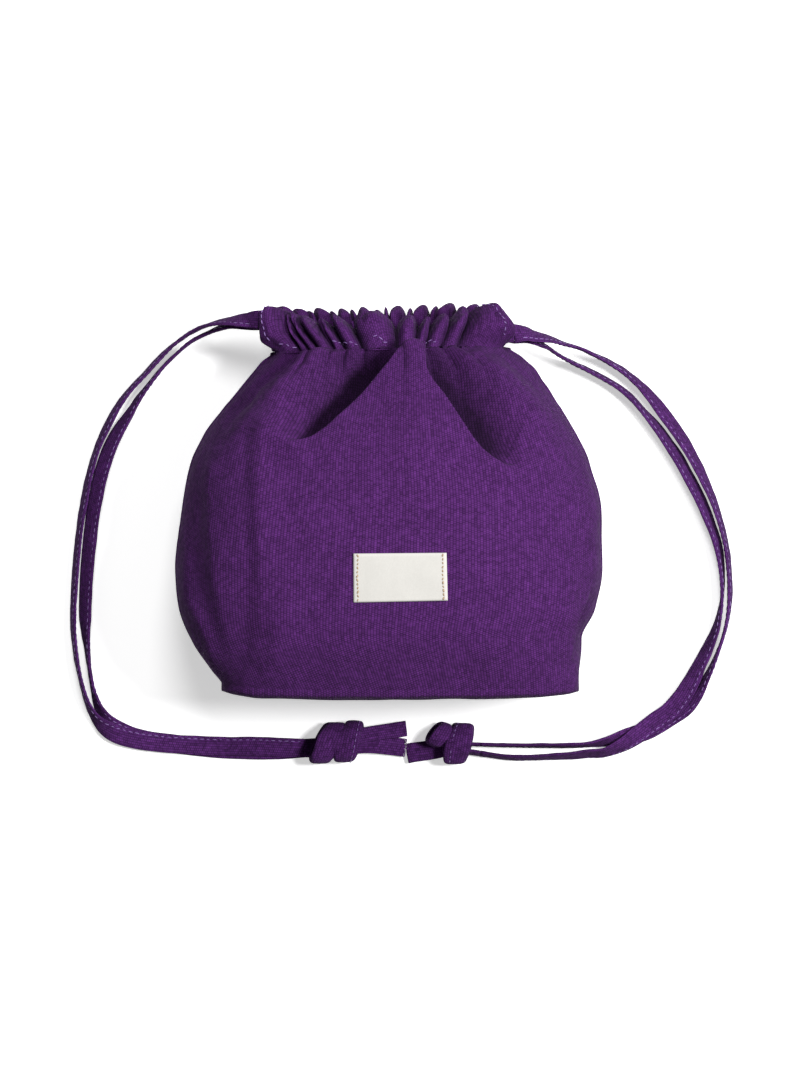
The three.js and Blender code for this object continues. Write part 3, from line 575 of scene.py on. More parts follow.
def sew(name, lines, thread, pitch=3.2, length=2.2, width=0.55, wobble=0.1, seed=1):
    """Stitches along one or more lines of points, as one plain mesh that rides on the root body."""
    points = np.vstack(lines) * MM
    edges, start = [], 0
    for line in lines:
        edges += [(start + i, start + i + 1) for i in range(len(line) - 1)]
        start += len(line)
    guide_mesh = bpy.data.meshes.new(name + "_guide")
    guide_mesh.from_pydata(points.tolist(), edges, [])
    guide = bpy.data.objects.new(name + "_guide", guide_mesh)
    scene.collection.objects.link(guide)
    nodes = guide.modifiers.new("stitches", "NODES")
    nodes.node_group = row_of_stitches
    values = {
        "Pitch": pitch * MM, "Stitch Length": length * MM, "Thread Width": width * MM,
        "Wobble": wobble, "Seed": seed, "Thread": thread,
    }
    for socket in row_of_stitches.interface.items_tree:
        if socket.in_out == "INPUT" and socket.name in values:
            nodes[socket.identifier] = values[socket.name]
    evaluated = guide.evaluated_get(bpy.context.evaluated_depsgraph_get())
    mesh = bpy.data.meshes.new_from_object(evaluated)
    bpy.data.objects.remove(guide)
    mesh.name = name
    row = bpy.data.objects.new(name, mesh)
    scene.collection.objects.link(row)
    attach(row, "root")
    return row


# %% Stitches on the legs
leg_stitches = {}
for seed, (name, (line, across, along)) in enumerate(leg_lines.items()):
    face = np.cross(unit(np.gradient(line, axis=0)), across)
    inner = -1.0
    seam = line + across * inner * (TAPE_WIDTH / 2 - 1.5)
    rows = [seam + face * side * TAPE_THICK * 0.48 for side in (1, -1)]
    rows = [row[4:-2] for row in rows]
    leg_stitches[name] = sew(name + "_stitches", rows, lilac_thread, width=0.42, seed=seed + 1)
print("stitch faces on one leg:", len(leg_stitches["left_leg_front"].data.polygons))

# %% [markdown]
# ## The knots
# The two legs of each drawstring end in one overhand knot of flat tape. Simulating a tied knot takes far
# longer than it is worth at this size. What the eye reads is a pair of fat bands that wrap round the bundle
# at a slant, the legs going in at one end and the short tails coming out at the other, so these are swept
# like the tapes.

# %% Knot bands
knot_seams = {"left": [], "right": []}


def wrap_band(middle, turn, lean, reach, rise, width, thick, slant, seed, seam=None):
    """A closed band round the knot's long axis. reach and rise are its half height and half depth."""
    angle = np.linspace(0, math.tau, 72, endpoint=False)
    full = 0.95
    y = np.sign(np.cos(angle)) * abs(np.cos(angle)) ** full * (reach - thick / 2)
    z = np.sign(np.sin(angle)) * abs(np.sin(angle)) ** full * (rise - thick / 2)
    line = np.stack([slant * np.cos(angle), y, z], axis=1)
    width = width * (0.78 + 0.22 * abs(np.sin(angle)))
    across = np.tile((1.0, 0, 0), (len(line), 1))
    across[:, 2] = 0.25 * np.cos(angle)
    a, b = math.radians(turn), math.radians(lean)
    lean_turn = np.array([[math.cos(b), 0, math.sin(b)], [0, 1, 0], [-math.sin(b), 0, math.cos(b)]])
    flat_turn = np.array([[math.cos(a), -math.sin(a), 0], [math.sin(a), math.cos(a), 0], [0, 0, 1]])
    turned = flat_turn @ lean_turn
    line, across = line @ turned.T + middle, across @ turned.T
    if seam is not None:
        face = unit(np.cross(unit(np.roll(line, -1, 0) - np.roll(line, 1, 0)), unit(across)))
        face = face * np.sign((face * (line - middle)).sum(1, keepdims=True))
        shown = face[:, 2] > 0.15
        on_top = line + unit(across) * seam * width[:, None] / 2 + face * (thick * 0.55)
        knot_seams["left" if middle[0] < 5 else "right"].append(on_top[shown])
    return sweep(line, across, width, thick, seed, closed=True, rough=1.6)


def tape_along(points, widths, width, thick, seed):
    line, place, _ = smooth_line(points, step=0.9)
    widths = np.asarray(widths, float)
    across = np.stack([np.interp(place, np.arange(len(widths)), widths[:, k]) for k in range(3)], axis=1)
    return sweep(line, across, width, thick, seed, rough=1.3)


def stub(name, inward, seed):
    """The last of a leg, going on into its knot."""
    line, across, _ = leg_lines[name]
    end, onward = line[-1], unit(line[-1] - line[-4])
    points = [end, end + onward * 4, end + onward * 9 + np.array([0, 0, inward])]
    return tape_along(points, [across[-1]] * 3, TAPE_WIDTH * 0.97, TAPE_THICK, seed)


KNOT_LEVEL = 8.1
left_parts = [
    wrap_band((-30.6, -120.6, KNOT_LEVEL), 0, 6, 9.8, 7.2, 12.4, 3.3, 4.2, 11),
    wrap_band((-20.2, -120.0, KNOT_LEVEL + 0.3), 0, -7, 10.2, 7.2, 11.0, 3.3, 2.6, 12, seam=0.72),
    wrap_band((-27.0, -120.6, KNOT_LEVEL), 4, 0, 7.0, 5.6, 9.0, 2.6, 0, 13),
    stub("left_leg_front", 3.0, 14),
    stub("left_leg_back", 2.0, 15),
    tape_along([(-26, -119.5, 9), (-18, -117.6, 9.4), (-8, -115.8, 8), (1, -114.6, 6.2), (8, -113.6, 4.8)],
               [(0, 1, 0.25), (0, 1, 0.2), (0, 1, 0.12), (0, 1, 0.1), (0, 1, 0.1)], 7.8, 2.0, 16),
    tape_along([(-26, -122.5, 6), (-18, -121.6, 6), (-9, -121.3, 5), (-1, -122.2, 3.4), (7.8, -123.4, 2.2)],
               [(0, 1, 0.1), (0, 1, 0), (0, 1, -0.05), (0, 1, -0.05), (0, 1, -0.05)], 9.2, 2.0, 17),
]
right_parts = [
    wrap_band((33.9, -120.7, KNOT_LEVEL), 0, -5, 9.9, 7.3, 12.6, 3.3, 2.2, 21, seam=-0.45),
    wrap_band((24.4, -116.6, KNOT_LEVEL - 0.4), -26, 8, 6.6, 6.6, 8.8, 3.0, 1.6, 22),
    wrap_band((30.0, -120.4, KNOT_LEVEL), 0, 0, 6.8, 5.4, 8.6, 2.6, 0, 23),
    stub("right_leg_front", 2.0, 24),
    stub("right_leg_back", 1.0, 25),
    tape_along([(30, -121.5, 6), (24, -123.4, 5.2), (18, -124.6, 3.9), (12.6, -125.4, 2.8), (8.4, -126.2, 2)],
               [(0, 1, 0.1), (0.1, 1, 0.1), (0.1, 1, 0.05), (0.1, 1, 0), (0.1, 1, 0)], 9.8, 2.1, 26),
]
knots = {}
for side, parts in (("left", left_parts), ("right", right_parts)):
    points, faces, uv = joined(parts)
    points[:, 2] = np.maximum(points[:, 2], 0.05)
    knot = add_mesh(side + "_knot_tape", points, faces, tape_canvas, uv)
    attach(knot, "root")
    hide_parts(side + "_knot")
    knots[side] = knot
print("knot faces:", {side: len(knot.data.polygons) for side, knot in knots.items()})

knot_stitches = {side: sew(side + "_knot_stitches", lines, lilac_thread, pitch=2.6, length=1.9, width=0.5,
                           seed=31)
                 for side, lines in knot_seams.items()}
fray_line = [np.array([(7.4 + 0.5 * math.sin(5 * t), -119.4 - 8.4 * t, 3.7 - 0.4 * t)
                       for t in np.linspace(0, 1, 20)])]
fray = sew("left_tail_fray", fray_line, white_thread, pitch=0.75, length=2.0, width=0.28, wobble=1.3, seed=32)

for name, leg in legs.items():
    line, _, along = leg_lines[name]
    side = name.split("_")[0]
    on_it = [leg_stitches[name]]
    if "front" in name:
        on_it += [knots[side], knot_stitches[side]] + ([fray] if side == "left" else [])
    print(name, "is", round(float(along[-1]), 1), "mm long")

# %% [markdown]
# ## The body
# The panels swell over the stuffing, fold flat under the base, and are gathered to the neck. A cloth
# simulation would find folds of its own, but not these folds, so the panels are grids through the sections
# of the solids, made smooth between them. Creases and ridges are drawn as lines over the front, each with
# its height on one side and its depth on the other, and noise adds the small dents.

# %% Sections of the body
WALL = 1.3
GAP = 0.3
body = dict(length=165.5, base_y=-95.9, base_width=169, base_height=84, base_shift=5.6, base_bow=3,
            belly_width=204.4, belly_height=106, neck_width=110, neck_height=62, neck_lift=16, neck_tilt=1.2,
            seam=0.44, press=5, belly_along=0.42)
sections = rows_of(
    ("along", "left", "right", "height", "lift", "front_full", "back_full"),
    [
        (0.03, 0.08, 0.05, 0.18, 0, 3.9, 4.5), (0.09, 0.36, 0.08, 0.46, 0, 3.5, 4.2),
        (0.165, 0.68, 0.1, 0.74, 0, 3.1, 3.8), (0.26, 0.93, 0.66, 0.93, 0, 2.8, 3.5),
        (0.38, 1, 0.94, 1, 0, 2.6, 3.3), (0.54, 0.94, 0.97, 0.95, 0, 2.4, 3.1),
        (0.68, 0.84, 0.85, 0.81, 0.02, 2.35, 3), (0.76, 0.715, 0.725, 0.67, 0.1, 2.3, 2.8),
        (0.83, 0.55, 0.585, 0.49, 0.26, 2.25, 2.6), (0.89, 0.37, 0.43, 0.33, 0.46, 2.15, 2.3),
        (0.945, 0.19, 0.27, 0.16, 0.72, 1.95, 2), (1, 0, 0, 0, 1, 1.75, 1.7),
    ],
)


def smooth_through(x, y, at):
    """A smooth curve through table values that never swings past them."""
    step, slope = np.diff(x), np.diff(y) / np.diff(x)
    tilt = np.zeros(len(x))
    same = slope[:-1] * slope[1:] > 0
    weight_a, weight_b = 2 * step[1:] + step[:-1], step[1:] + 2 * step[:-1]
    with np.errstate(divide="ignore", invalid="ignore"):
        middle = (weight_a + weight_b) / (weight_a / slope[:-1] + weight_b / slope[1:])
    tilt[1:-1] = np.where(same, middle, 0)
    tilt[0], tilt[-1] = slope[0], slope[-1]
    i = np.clip(np.searchsorted(x, at, side="right") - 1, 0, len(x) - 2)
    t = np.clip((at - x[i]) / step[i], 0, 1)
    return (y[i] * (1 + 2 * t) * (1 - t) ** 2 + tilt[i] * step[i] * t * (1 - t) ** 2
            + y[i + 1] * t * t * (3 - 2 * t) + tilt[i + 1] * step[i] * t * t * (t - 1))


def table_sizes():
    low = sections["along"] < body["belly_along"]
    half = np.where(low, body["base_width"], body["neck_width"]) / 2
    shift = np.where(low, body["base_shift"], 0)
    belly = body["belly_width"] / 2
    lift = sections["lift"]
    end_seam = np.where(low, body["base_height"] * 0.5,
                        mix(body["neck_lift"], body["neck_height"], body["seam"]))
    return {
        "left": mix(shift - half, -belly, sections["left"]),
        "right": mix(shift + half, belly, sections["right"]),
        "top": mix(np.where(low, body["base_height"], body["neck_height"]), body["belly_height"],
                   sections["height"]),
        "bottom": lift * body["neck_lift"] - body["press"] * (1 - lift),
        "seam": mix(end_seam, body["belly_height"] * body["seam"], sections["height"]),
        "front_full": sections["front_full"],
        "back_full": sections["back_full"],
    }


sizes = table_sizes()


def sizes_at(along):
    at = np.clip(along, sections["along"][0], 1)
    return {name: float(smooth_through(sections["along"], values, at)) for name, values in sizes.items()}


def half_section(left, right, seam, far, fullness, shares):
    """Points of one half of a rounded section at shares of its length, with its whole length."""
    s = np.linspace(-1, 1, 801)
    angle = math.pi / 2 * (1 - np.sign(s) * (1 - (1 - abs(s)) ** 4))
    power = 2 / fullness
    cosine = np.cos(angle)
    x = np.sign(cosine) * abs(cosine) ** power * np.where(cosine < 0, -left, right)
    z = mix(seam, far, np.clip(np.sin(angle), 0, 1) ** power)
    run = np.concatenate([[0], np.cumsum(np.hypot(np.diff(x), np.diff(z)))])
    return np.interp(shares * run[-1], run, x), np.interp(shares * run[-1], run, z), float(run[-1])


print("belly section:", {name: round(value, 1) for name, value in sizes_at(0.42).items()})

# %% Gathers round the neck
casing = dict(height=24.6, half=4.8, gather=4.0, pleat=7.0, inner=0.35, ends=0.05,
              mouth_width=116, mouth_shift=-2, wall=1.1)
lobe_columns = ("end", "rise", "top", "sway")
front_lobes = rows_of(lobe_columns, [
    (0.12, 0.9, 1.0, 0.0), (0.16, 0.6, 0.86, -0.03), (0.205, 0.7, 0.9, -0.035), (0.272, 1.0, 0.86, -0.03),
    (0.32, 0.7, 0.82, -0.018), (0.39, 1.15, 0.9, -0.01), (0.53, 1.35, 0.96, 0.008), (0.603, 1.0, 0.88, 0.02),
    (0.644, 0.65, 0.82, 0.028), (0.712, 0.9, 0.86, 0.035), (0.783, 1.0, 0.94, 0.045), (1.0, 0.9, 0.95, 0.0),
])
back_lobes = rows_of(lobe_columns, [
    (0.1, 0.6, 1.02, 0.0), (0.15, 0.8, 0.98, 0.012), (0.2, 0.6, 0.93, -0.01), (0.25, 0.9, 0.99, 0.01),
    (0.3, 0.6, 0.92, -0.008), (0.34, 0.75, 0.97, 0.01), (0.39, 0.9, 0.95, -0.012), (0.43, 0.8, 1.0, 0.008),
    (0.48, 0.7, 0.93, 0.01), (0.52, 0.85, 0.98, -0.01), (0.57, 1.0, 1.0, 0.012), (0.62, 0.8, 0.94, -0.008),
    (0.675, 0.9, 1.0, 0.01), (0.73, 0.8, 0.96, -0.01), (0.79, 0.95, 1.02, 0.012), (0.84, 0.7, 0.95, 0.0),
    (0.9, 0.85, 0.98, 0.0), (1.0, 0.6, 1.02, 0.0),
])
front_lobes["dip"], back_lobes["dip"] = 0.9, 0.8


def lobes_at(lobes, share, height):
    """How far a gather stands out, and its top, at shares of the way round and of the casing's height."""
    share, height = np.broadcast_arrays(np.asarray(share, float), np.asarray(height, float))
    ends = lobes["end"][None] + lobes["sway"][None] * height.reshape(-1, 1)
    ends[:, -1] = 1
    starts = np.hstack([np.zeros((len(ends), 1)), ends[:, :-1]])
    flat = share.reshape(-1, 1)
    index = np.clip((flat >= ends).sum(1), 0, ends.shape[1] - 1)
    pick = np.arange(len(ends))
    begin, end = starts[pick, index], ends[pick, index]
    round_share = np.clip((flat[:, 0] - begin) / np.maximum(end - begin, 1e-6), 0, 1)
    lobe = np.sin(math.pi * round_share) ** 0.6
    first, last = index == 0, index == ends.shape[1] - 1
    lobe = np.where(first & (round_share < 0.5), 0.55 + 0.45 * lobe, lobe)
    lobe = np.where(last & (round_share > 0.5), 0.55 + 0.45 * lobe, lobe)
    rise = lobes["rise"][index] * lobe
    top = lobes["top"][index] * mix(lobes["dip"], 1.0, lobe)
    return rise.reshape(share.shape), top.reshape(share.shape), lobe.reshape(share.shape)


print("gathers:", len(front_lobes["end"]), "in front,", len(back_lobes["end"]), "behind")

# %% Creases and ridges of the front
# x and y in mm; high is the rise on the crease's raised side and low the drop on its other side.
crease_columns = ("x", "y", "high", "low")

creases = [
    dict(name="left of the middle", side=1, near=22, far=18, edge=1.3, line=rows_of(crease_columns, [
        (10.5, 74, 2, 2), (7.3, 70, 4, 5), (4, 64.2, 5, 9), (0.2, 59.2, 5, 11), (-5.4, 54.3, 4.5, 12),
        (-11.5, 48.9, 4, 11.5), (-18.5, 42.6, 3.4, 10), (-23.2, 38.3, 2.8, 8.6), (-30.1, 32.5, 2.2, 7),
        (-37.1, 28.2, 1.6, 4.6), (-43, 26, 1, 1.6), (-49, 25, 0, 0),
    ])),
    dict(name="right of the middle", side=-1, near=22, far=17, edge=1.3, line=rows_of(crease_columns, [
        (13, 74, 2, 2), (16, 69, 4, 6), (16.9, 62, 5, 10), (17.7, 54.5, 4.5, 12), (20.5, 50.6, 4, 12),
        (26.1, 45, 4, 11.5), (33.1, 35.9, 3.4, 10), (39.9, 26.8, 2.8, 8), (44.6, 21.8, 2, 6),
        (49.2, 18, 1.4, 4), (53.8, 15, 0.8, 2), (60, 13, 0, 0),
    ])),
    dict(name="left soft edge", side=1, near=26, far=26, edge=4.5, line=rows_of(crease_columns, [
        (-52, 44, 0, 0), (-59, 34, 0.8, 0.8), (-62.5, 24, 1.1, 1.4), (-63, 8, 1.2, 1.6), (-62, -16, 1.2, 1.6),
        (-62, -44, 1, 1.3), (-64, -62, 0.6, 0.9), (-68, -80, 0, 0),
    ])),
    dict(name="lower left edge", side=1, near=18, far=18, edge=9, line=rows_of(crease_columns, [
        (-54, -20, 0, 0), (-53, -48.1, 0.8, 0.9), (-57, -66.7, 1.2, 1.5), (-63, -81, 1.0, 1.3),
        (-71, -94, 0.4, 0.5),
    ])),
    dict(name="lower right tuck", side=-1, near=10, far=7, edge=1.6, line=rows_of(crease_columns, [
        (95.5, -44, 0, 0), (94.3, -49.5, 0.9, 1.6), (89.8, -57.4, 1.4, 2.4), (87.6, -65.8, 1.2, 2),
        (86, -76, 0.3, 0.4),
    ])),
]
ridge_columns = ("x", "y", "high")
ridges = [
    dict(name="left ridge", left=11, right=13, line=rows_of(ridge_columns, [
        (-21, 73, 5), (-27, 67, 8), (-36, 60, 8.5), (-45, 53, 8.5), (-53.5, 45.5, 7.5), (-61.5, 37, 6),
        (-67, 26.5, 4), (-69, 10, 2.6), (-68.5, -20, 2), (-64, -48, 0.8), (-60, -60, 0),
    ])),
    dict(name="right ridge", left=12, right=12, line=rows_of(ridge_columns, [
        (24, 73, 5), (29, 67, 8), (38, 61, 8.5), (47, 55.5, 8), (56, 49, 7), (64.5, 41.5, 5.4),
        (72, 32, 3.4), (77, 20, 1.8), (80, 5, 0),
    ])),
    dict(name="outer left dip", left=6, right=6, line=rows_of(ridge_columns, [
        (-38, 72, -2), (-50, 63, -5), (-60, 54, -5), (-70, 44, -4), (-79, 31, -2.4), (-85, 12, 0),
    ])),
    dict(name="outer right dip", left=6, right=6, line=rows_of(ridge_columns, [
        (33, 72, -1.6), (46, 67, -4), (60, 60.5, -4), (72, 51, -2.6), (82, 38, 0),
    ])),
    dict(name="small left roll", left=6, right=6, line=rows_of(ridge_columns, [
        (-62, 34, 1), (-53, 27.5, 3), (-45, 23, 2.6), (-34, 17, 0),
    ])),
    dict(name="middle lift", left=17, right=17, line=rows_of(ridge_columns, [
        (11, 73, 4.5), (11, 62, 4), (12, 45, 2.8), (12, 25, 1.4), (10, 0, 0),
    ])),
    dict(name="right roll", left=7, right=7, line=rows_of(ridge_columns, [
        (38, 20, 0), (46, 13.5, 1.4), (56, 10.5, 2.2), (66, 12, 1.2), (76, 16, 0),
    ])),
    dict(name="left flank edge", left=24, right=6, line=rows_of(ridge_columns, [
        (-72, 46, 0), (-77.5, 36, 2.4), (-81, 21, 3.8), (-82, 6, 4.2), (-81.5, -16, 4.2), (-79, -40, 3.4),
        (-75, -62, 2.2), (-72, -84, 0),
    ])),
    dict(name="right soft ridge", left=7, right=7, line=rows_of(ridge_columns, [
        (82, -20, 0), (82.2, -34.2, 1.1), (82.7, -48.1, 1.4), (82.5, -66.7, 1.4), (85, -80, 0),
    ])),
    dict(name="left side seam", left=3, right=3, line=rows_of(ridge_columns, [
        (-97, -10, 0), (-96.9, -20.3, 0.9), (-95.1, -48.1, 1.2), (-89.6, -57, 1.4), (-84.7, -67.7, 1.5),
        (-82.7, -82, 0.6),
    ])),
]


def nearest_on_line(x, y, line, values):
    """The distance to a line of points, which side of it, and its values there."""
    best = np.full(x.shape, 1e9)
    side = np.zeros(x.shape)
    found = {name: np.zeros(x.shape) for name in values}
    for i in range(len(line["x"]) - 1):
        ax, ay = line["x"][i], line["y"][i]
        dx, dy = line["x"][i + 1] - ax, line["y"][i + 1] - ay
        share = np.clip(((x - ax) * dx + (y - ay) * dy) / (dx * dx + dy * dy), 0, 1)
        ox, oy = x - ax - share * dx, y - ay - share * dy
        away = np.hypot(ox, oy)
        closer = away < best
        best = np.where(closer, away, best)
        side = np.where(closer, np.sign(dx * oy - dy * ox), side)
        for name in values:
            found[name] = np.where(closer, mix(line[name][i], line[name][i + 1], share), found[name])
    return best, side, found


def front_relief(x, y):
    relief, shade = np.zeros(x.shape), np.zeros(x.shape)
    for crease in creases:
        away, side, found = nearest_on_line(x, y, crease["line"], ("high", "low"))
        signed = away * side * crease["side"]
        raised = ease((signed / crease["edge"] + 1) / 2)
        high = found["high"] * np.exp(-np.maximum(signed, 0) / crease["near"])
        low = 1.8 * found["low"] * np.exp(-((np.maximum(-signed, 0) / crease["far"]) ** 2.4))
        relief += high * raised - low * (1 - raised)
        # Painted shade: how dark the cloth is painted in the valley beside the crease, by the depth of its
        # drop.
        painted_shade_tone = found["low"] / 11 * np.exp(-((np.maximum(-signed, 0) / crease["far"]) ** 2))
        shade = np.maximum(shade, painted_shade_tone * (1 - raised))
    for ridge in ridges:
        away, side, found = nearest_on_line(x, y, ridge["line"], ("high",))
        width = np.where(side > 0, ridge["left"], ridge["right"])
        relief += found["high"] * np.exp(-((away / width) ** 2))
    return relief, np.clip(shade, 0, 1)


print("creases:", len(creases), "ridges:", len(ridges))

# %% [markdown]
# ## Panels
# Each panel is a closed shell: a fine grid outside, a coarse one inside, and rims that join them. The fine
# grid carries the folds, the gathers at the neck and a groove along the side seam.

# %% Panel surface
def panel_surface(side, columns, base_rows, body_rows):
    """Points of a panel before its folds, its flat cloth positions, and each row's place from base to neck."""
    shares = (1 - np.cos(np.linspace(0, math.pi, columns))) / 2
    shares = mix(np.linspace(0, 1, columns), shares, 0.45)
    corner = 1 - (1 - np.linspace(0, 1, base_rows)) ** 1.6
    to_seam = np.concatenate([1 - corner, np.zeros(body_rows)])
    along = np.concatenate([0.03 * (1 - (1 - corner ** 4.5) ** (1 / 4.5)),
                            np.linspace(0.03, 1.004, body_rows + 1)[1:]])
    points = np.zeros((len(along), columns, 3))
    reach = np.zeros(len(along))
    for row, (place, seam_share) in enumerate(zip(along, to_seam)):
        size = sizes_at(place)
        seam = size["seam"] + side * GAP / 2
        far = size["top"] if side > 0 else size["bottom"]
        fullness = size["front_full"] if side > 0 else size["back_full"]
        x, z, reach[row] = half_section(size["left"], size["right"], seam, far, fullness, shares)
        across = np.where(x < 0, -x / size["left"], x / size["right"])
        y = body["base_y"] + place * body["length"] + body["neck_tilt"] * place ** 6 * across
        y = y + body["base_bow"] * (1 - place) ** 8 * across ** 4
        points[row] = np.stack([x, np.maximum(y, body["base_y"]), mix(z, seam, seam_share)], axis=1)
    cloth_width = reach.max() ** 0.75 * reach ** 0.25
    steps = np.linalg.norm(np.diff(points, axis=0), axis=2).mean(1)
    down = np.concatenate([[0], np.cumsum(steps)])
    uv = np.stack([(shares - 0.5)[None] * cloth_width[:, None], np.repeat(down[:, None], columns, 1)],
                  axis=-1)
    return points, uv, shares, along, to_seam


def surface_normals(points, side):
    across = np.gradient(points, axis=1)
    down = np.gradient(points, axis=0)
    return unit(np.cross(across, down)) * side


def closed_shell(outer, uv, normals, thick, step):
    """Outer grid, inner grid at every few points, and the rims between them."""
    rows, columns = outer.shape[:2]
    inner = (outer - normals * thick)[::step, ::step]
    inner_rows, inner_columns = inner.shape[:2]
    start = rows * columns
    faces = grid_faces(rows, columns)
    faces += [face[::-1] for face in grid_faces(inner_rows, inner_columns, start)]
    for row, inner_row in ((0, 0), (rows - 1, inner_rows - 1)):
        for i in range(inner_columns - 1):
            edge = [row * columns + i * step + k for k in range(step + 1)]
            a = start + inner_row * inner_columns + i
            faces.append(tuple(edge + [a + 1, a]) if row else tuple((edge + [a + 1, a])[::-1]))
    for column, inner_column in ((0, 0), (columns - 1, inner_columns - 1)):
        for i in range(inner_rows - 1):
            edge = [(i * step + k) * columns + column for k in range(step + 1)]
            a = start + i * inner_columns + inner_column
            b = a + inner_columns
            faces.append(tuple(edge + [b, a]) if not column else tuple((edge + [b, a])[::-1]))
    points = np.vstack([outer.reshape(-1, 3), inner.reshape(-1, 3)])
    return points, faces, np.vstack([uv.reshape(-1, 2), uv[::step, ::step].reshape(-1, 2)])


def seam_groove(shares, reach):
    away = np.minimum(shares, 1 - shares) * reach
    return 0.9 * np.exp(-(((away - 3.2) / 1.8) ** 2)) - 1.2 * np.exp(-((away / 1.2) ** 2))


# %% Front and back panels
def build_panel(name, side, lobes, columns, base_rows, body_rows):
    points, uv, shares, along, to_seam = panel_surface(side, columns, base_rows, body_rows)
    normals = surface_normals(points, side)
    round_share = np.clip((shares - casing["ends"]) / (1 - 2 * casing["ends"]), 0, 1)
    rise, _, _ = lobes_at(lobes, round_share[None], np.zeros((len(along), 1)))
    free = ease(np.minimum(shares, 1 - shares) * 7)[None] * (1 - to_seam)[:, None]
    gather = ease((along - 0.82) / 0.18)[:, None] ** 1.3 * casing["gather"]
    out = gather * rise
    # Painted shade between the gathers at the neck, kept in the fold attribute.
    folds = 0.55 * gather / casing["gather"] * (1 - lobes_at(lobes, round_share[None],
                                                             np.zeros((len(along), 1)))[2]) ** 1.5
    out = out + seam_groove(shares, 300.0)[None] * ease((along[:, None] - 0.05) / 0.1)
    out = out + cloth_noise(points, 36.0, 1 + side) * 1.5 * free + cloth_noise(points, 13.0, 5 + side) * 0.45
    near_neck = ease((along - 0.72) / 0.2)[:, None]
    out = out + cloth_noise(points * (1, 0.35, 1), 5.0, 9 + side) * 0.5 * near_neck
    if side > 0:
        deep_fade, high_fade = ease((1.0 - along) / 0.06)[:, None], ease((1.0 - along) / 0.03)[:, None]
        relief, shade = front_relief(points[..., 0], points[..., 1])
        relief = relief * free * np.where(relief > 0, high_fade, deep_fade)
        # Painted shade in the valleys of the front, from the creases and from where the relief drops.
        folds = np.maximum(folds, np.maximum(shade, np.clip(-(relief + 1) / 8, 0, 1)))
        out = out + relief
    outer = points + normals * (out * (1 - to_seam)[:, None])[..., None]
    outer[..., 2] = np.maximum(outer[..., 2], 0.05)
    outer[..., 1] = np.maximum(outer[..., 1], body["base_y"] - 0.6)
    # Painted shade along the base, where the cloth turns under.
    folds = np.maximum(folds, 0.5 * (1 - ease(along / 0.03))[:, None])
    shell, faces, cloth = closed_shell(outer, uv, surface_normals(outer, side), WALL, 4)
    folds = np.broadcast_to(folds, outer.shape[:2])
    folds = np.concatenate([folds.ravel(), folds[::4, ::4].ravel()])
    shell[:, 2] = np.maximum(shell[:, 2], 0.05)
    piece = add_mesh(name + "_canvas", shell, faces, purple_canvas, cloth, folds)
    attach(piece, "root")
    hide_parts(name)
    print(name, "faces:", len(piece.data.polygons))
    return piece, outer


front_panel = build_panel("front_panel", 1, front_lobes, 321, 29, 228)[0]
back_panel = build_panel("back_panel", -1, back_lobes, 241, 21, 140)[0]

# %% [markdown]
# ## The casings
# Each half of the casing is a flat sleeve bunched up on the tapes inside it, so it breaks into fat lobes with
# sharp creases between them, some leaning left and some right. A Displace modifier would round the creases
# off. Here each column of the sleeve knows which lobe it is in, and the lobes shift sideways with height.

# %% Sleeve round the neck
leans = {1: (11.5, 21), -1: (23, -9), 0: (21.5, 0)}


def neck_frames(side, shares):
    """Foot points of the casing and its standing, outward and facing directions at shares of the way round."""
    size = sizes_at(1)
    half_wall = 0.7
    args = (size["left"] + half_wall, size["right"] - half_wall, size["seam"] + side * GAP / 2,
            size["top"] - half_wall if side > 0 else size["bottom"] + half_wall,
            size["front_full"] if side > 0 else size["back_full"])
    x, z, _ = half_section(*args, shares)
    ahead, high, _ = half_section(*args, np.clip(shares + 0.002, 0, 1))
    behind, low, _ = half_section(*args, np.clip(shares - 0.002, 0, 1))
    tangent = unit(np.stack([ahead - behind, high - low], axis=1))
    tilt = body["neck_tilt"] * x / (body["neck_width"] / 2)
    foot = np.stack([x, body["base_y"] + body["length"] + GAP + tilt, z], axis=1)
    middle = np.clip(np.sin(math.pi * shares), 0, 1) ** 1.2
    stand = unit(np.stack([
        x * (casing["mouth_width"] / body["neck_width"] - 1) + casing["mouth_shift"],
        mix(leans[0][0], leans[side][0], middle),
        -mix(leans[0][1], leans[side][1], middle),
    ], axis=1))
    outward = np.stack([-side * tangent[:, 1], np.zeros(len(x)), side * tangent[:, 0]], axis=1)
    out = unit(np.cross(unit(np.cross(stand, outward)), stand))
    return foot, stand, outward, out


def sleeve_profile(steps):
    """Heights and half thicknesses, as shares, from the outer foot over the top to the inner foot."""
    rise = np.linspace(0, 1, steps)
    low_heights, low_swell = 0.5 * rise, mix(0.0, 1.0, ease(rise ** 0.8))
    angle = np.linspace(0, math.pi / 2, steps)[1:]
    top_heights, top_swell = 0.5 + 0.5 * np.sin(angle) ** 0.9, np.cos(angle) ** 0.62
    heights = np.concatenate([low_heights, top_heights])
    swell = np.concatenate([low_swell, top_swell])
    return (np.concatenate([heights, heights[-2::-1]]), np.concatenate([swell, swell[-2::-1]]),
            np.concatenate([np.ones(len(heights)), -np.ones(len(heights) - 1)]))


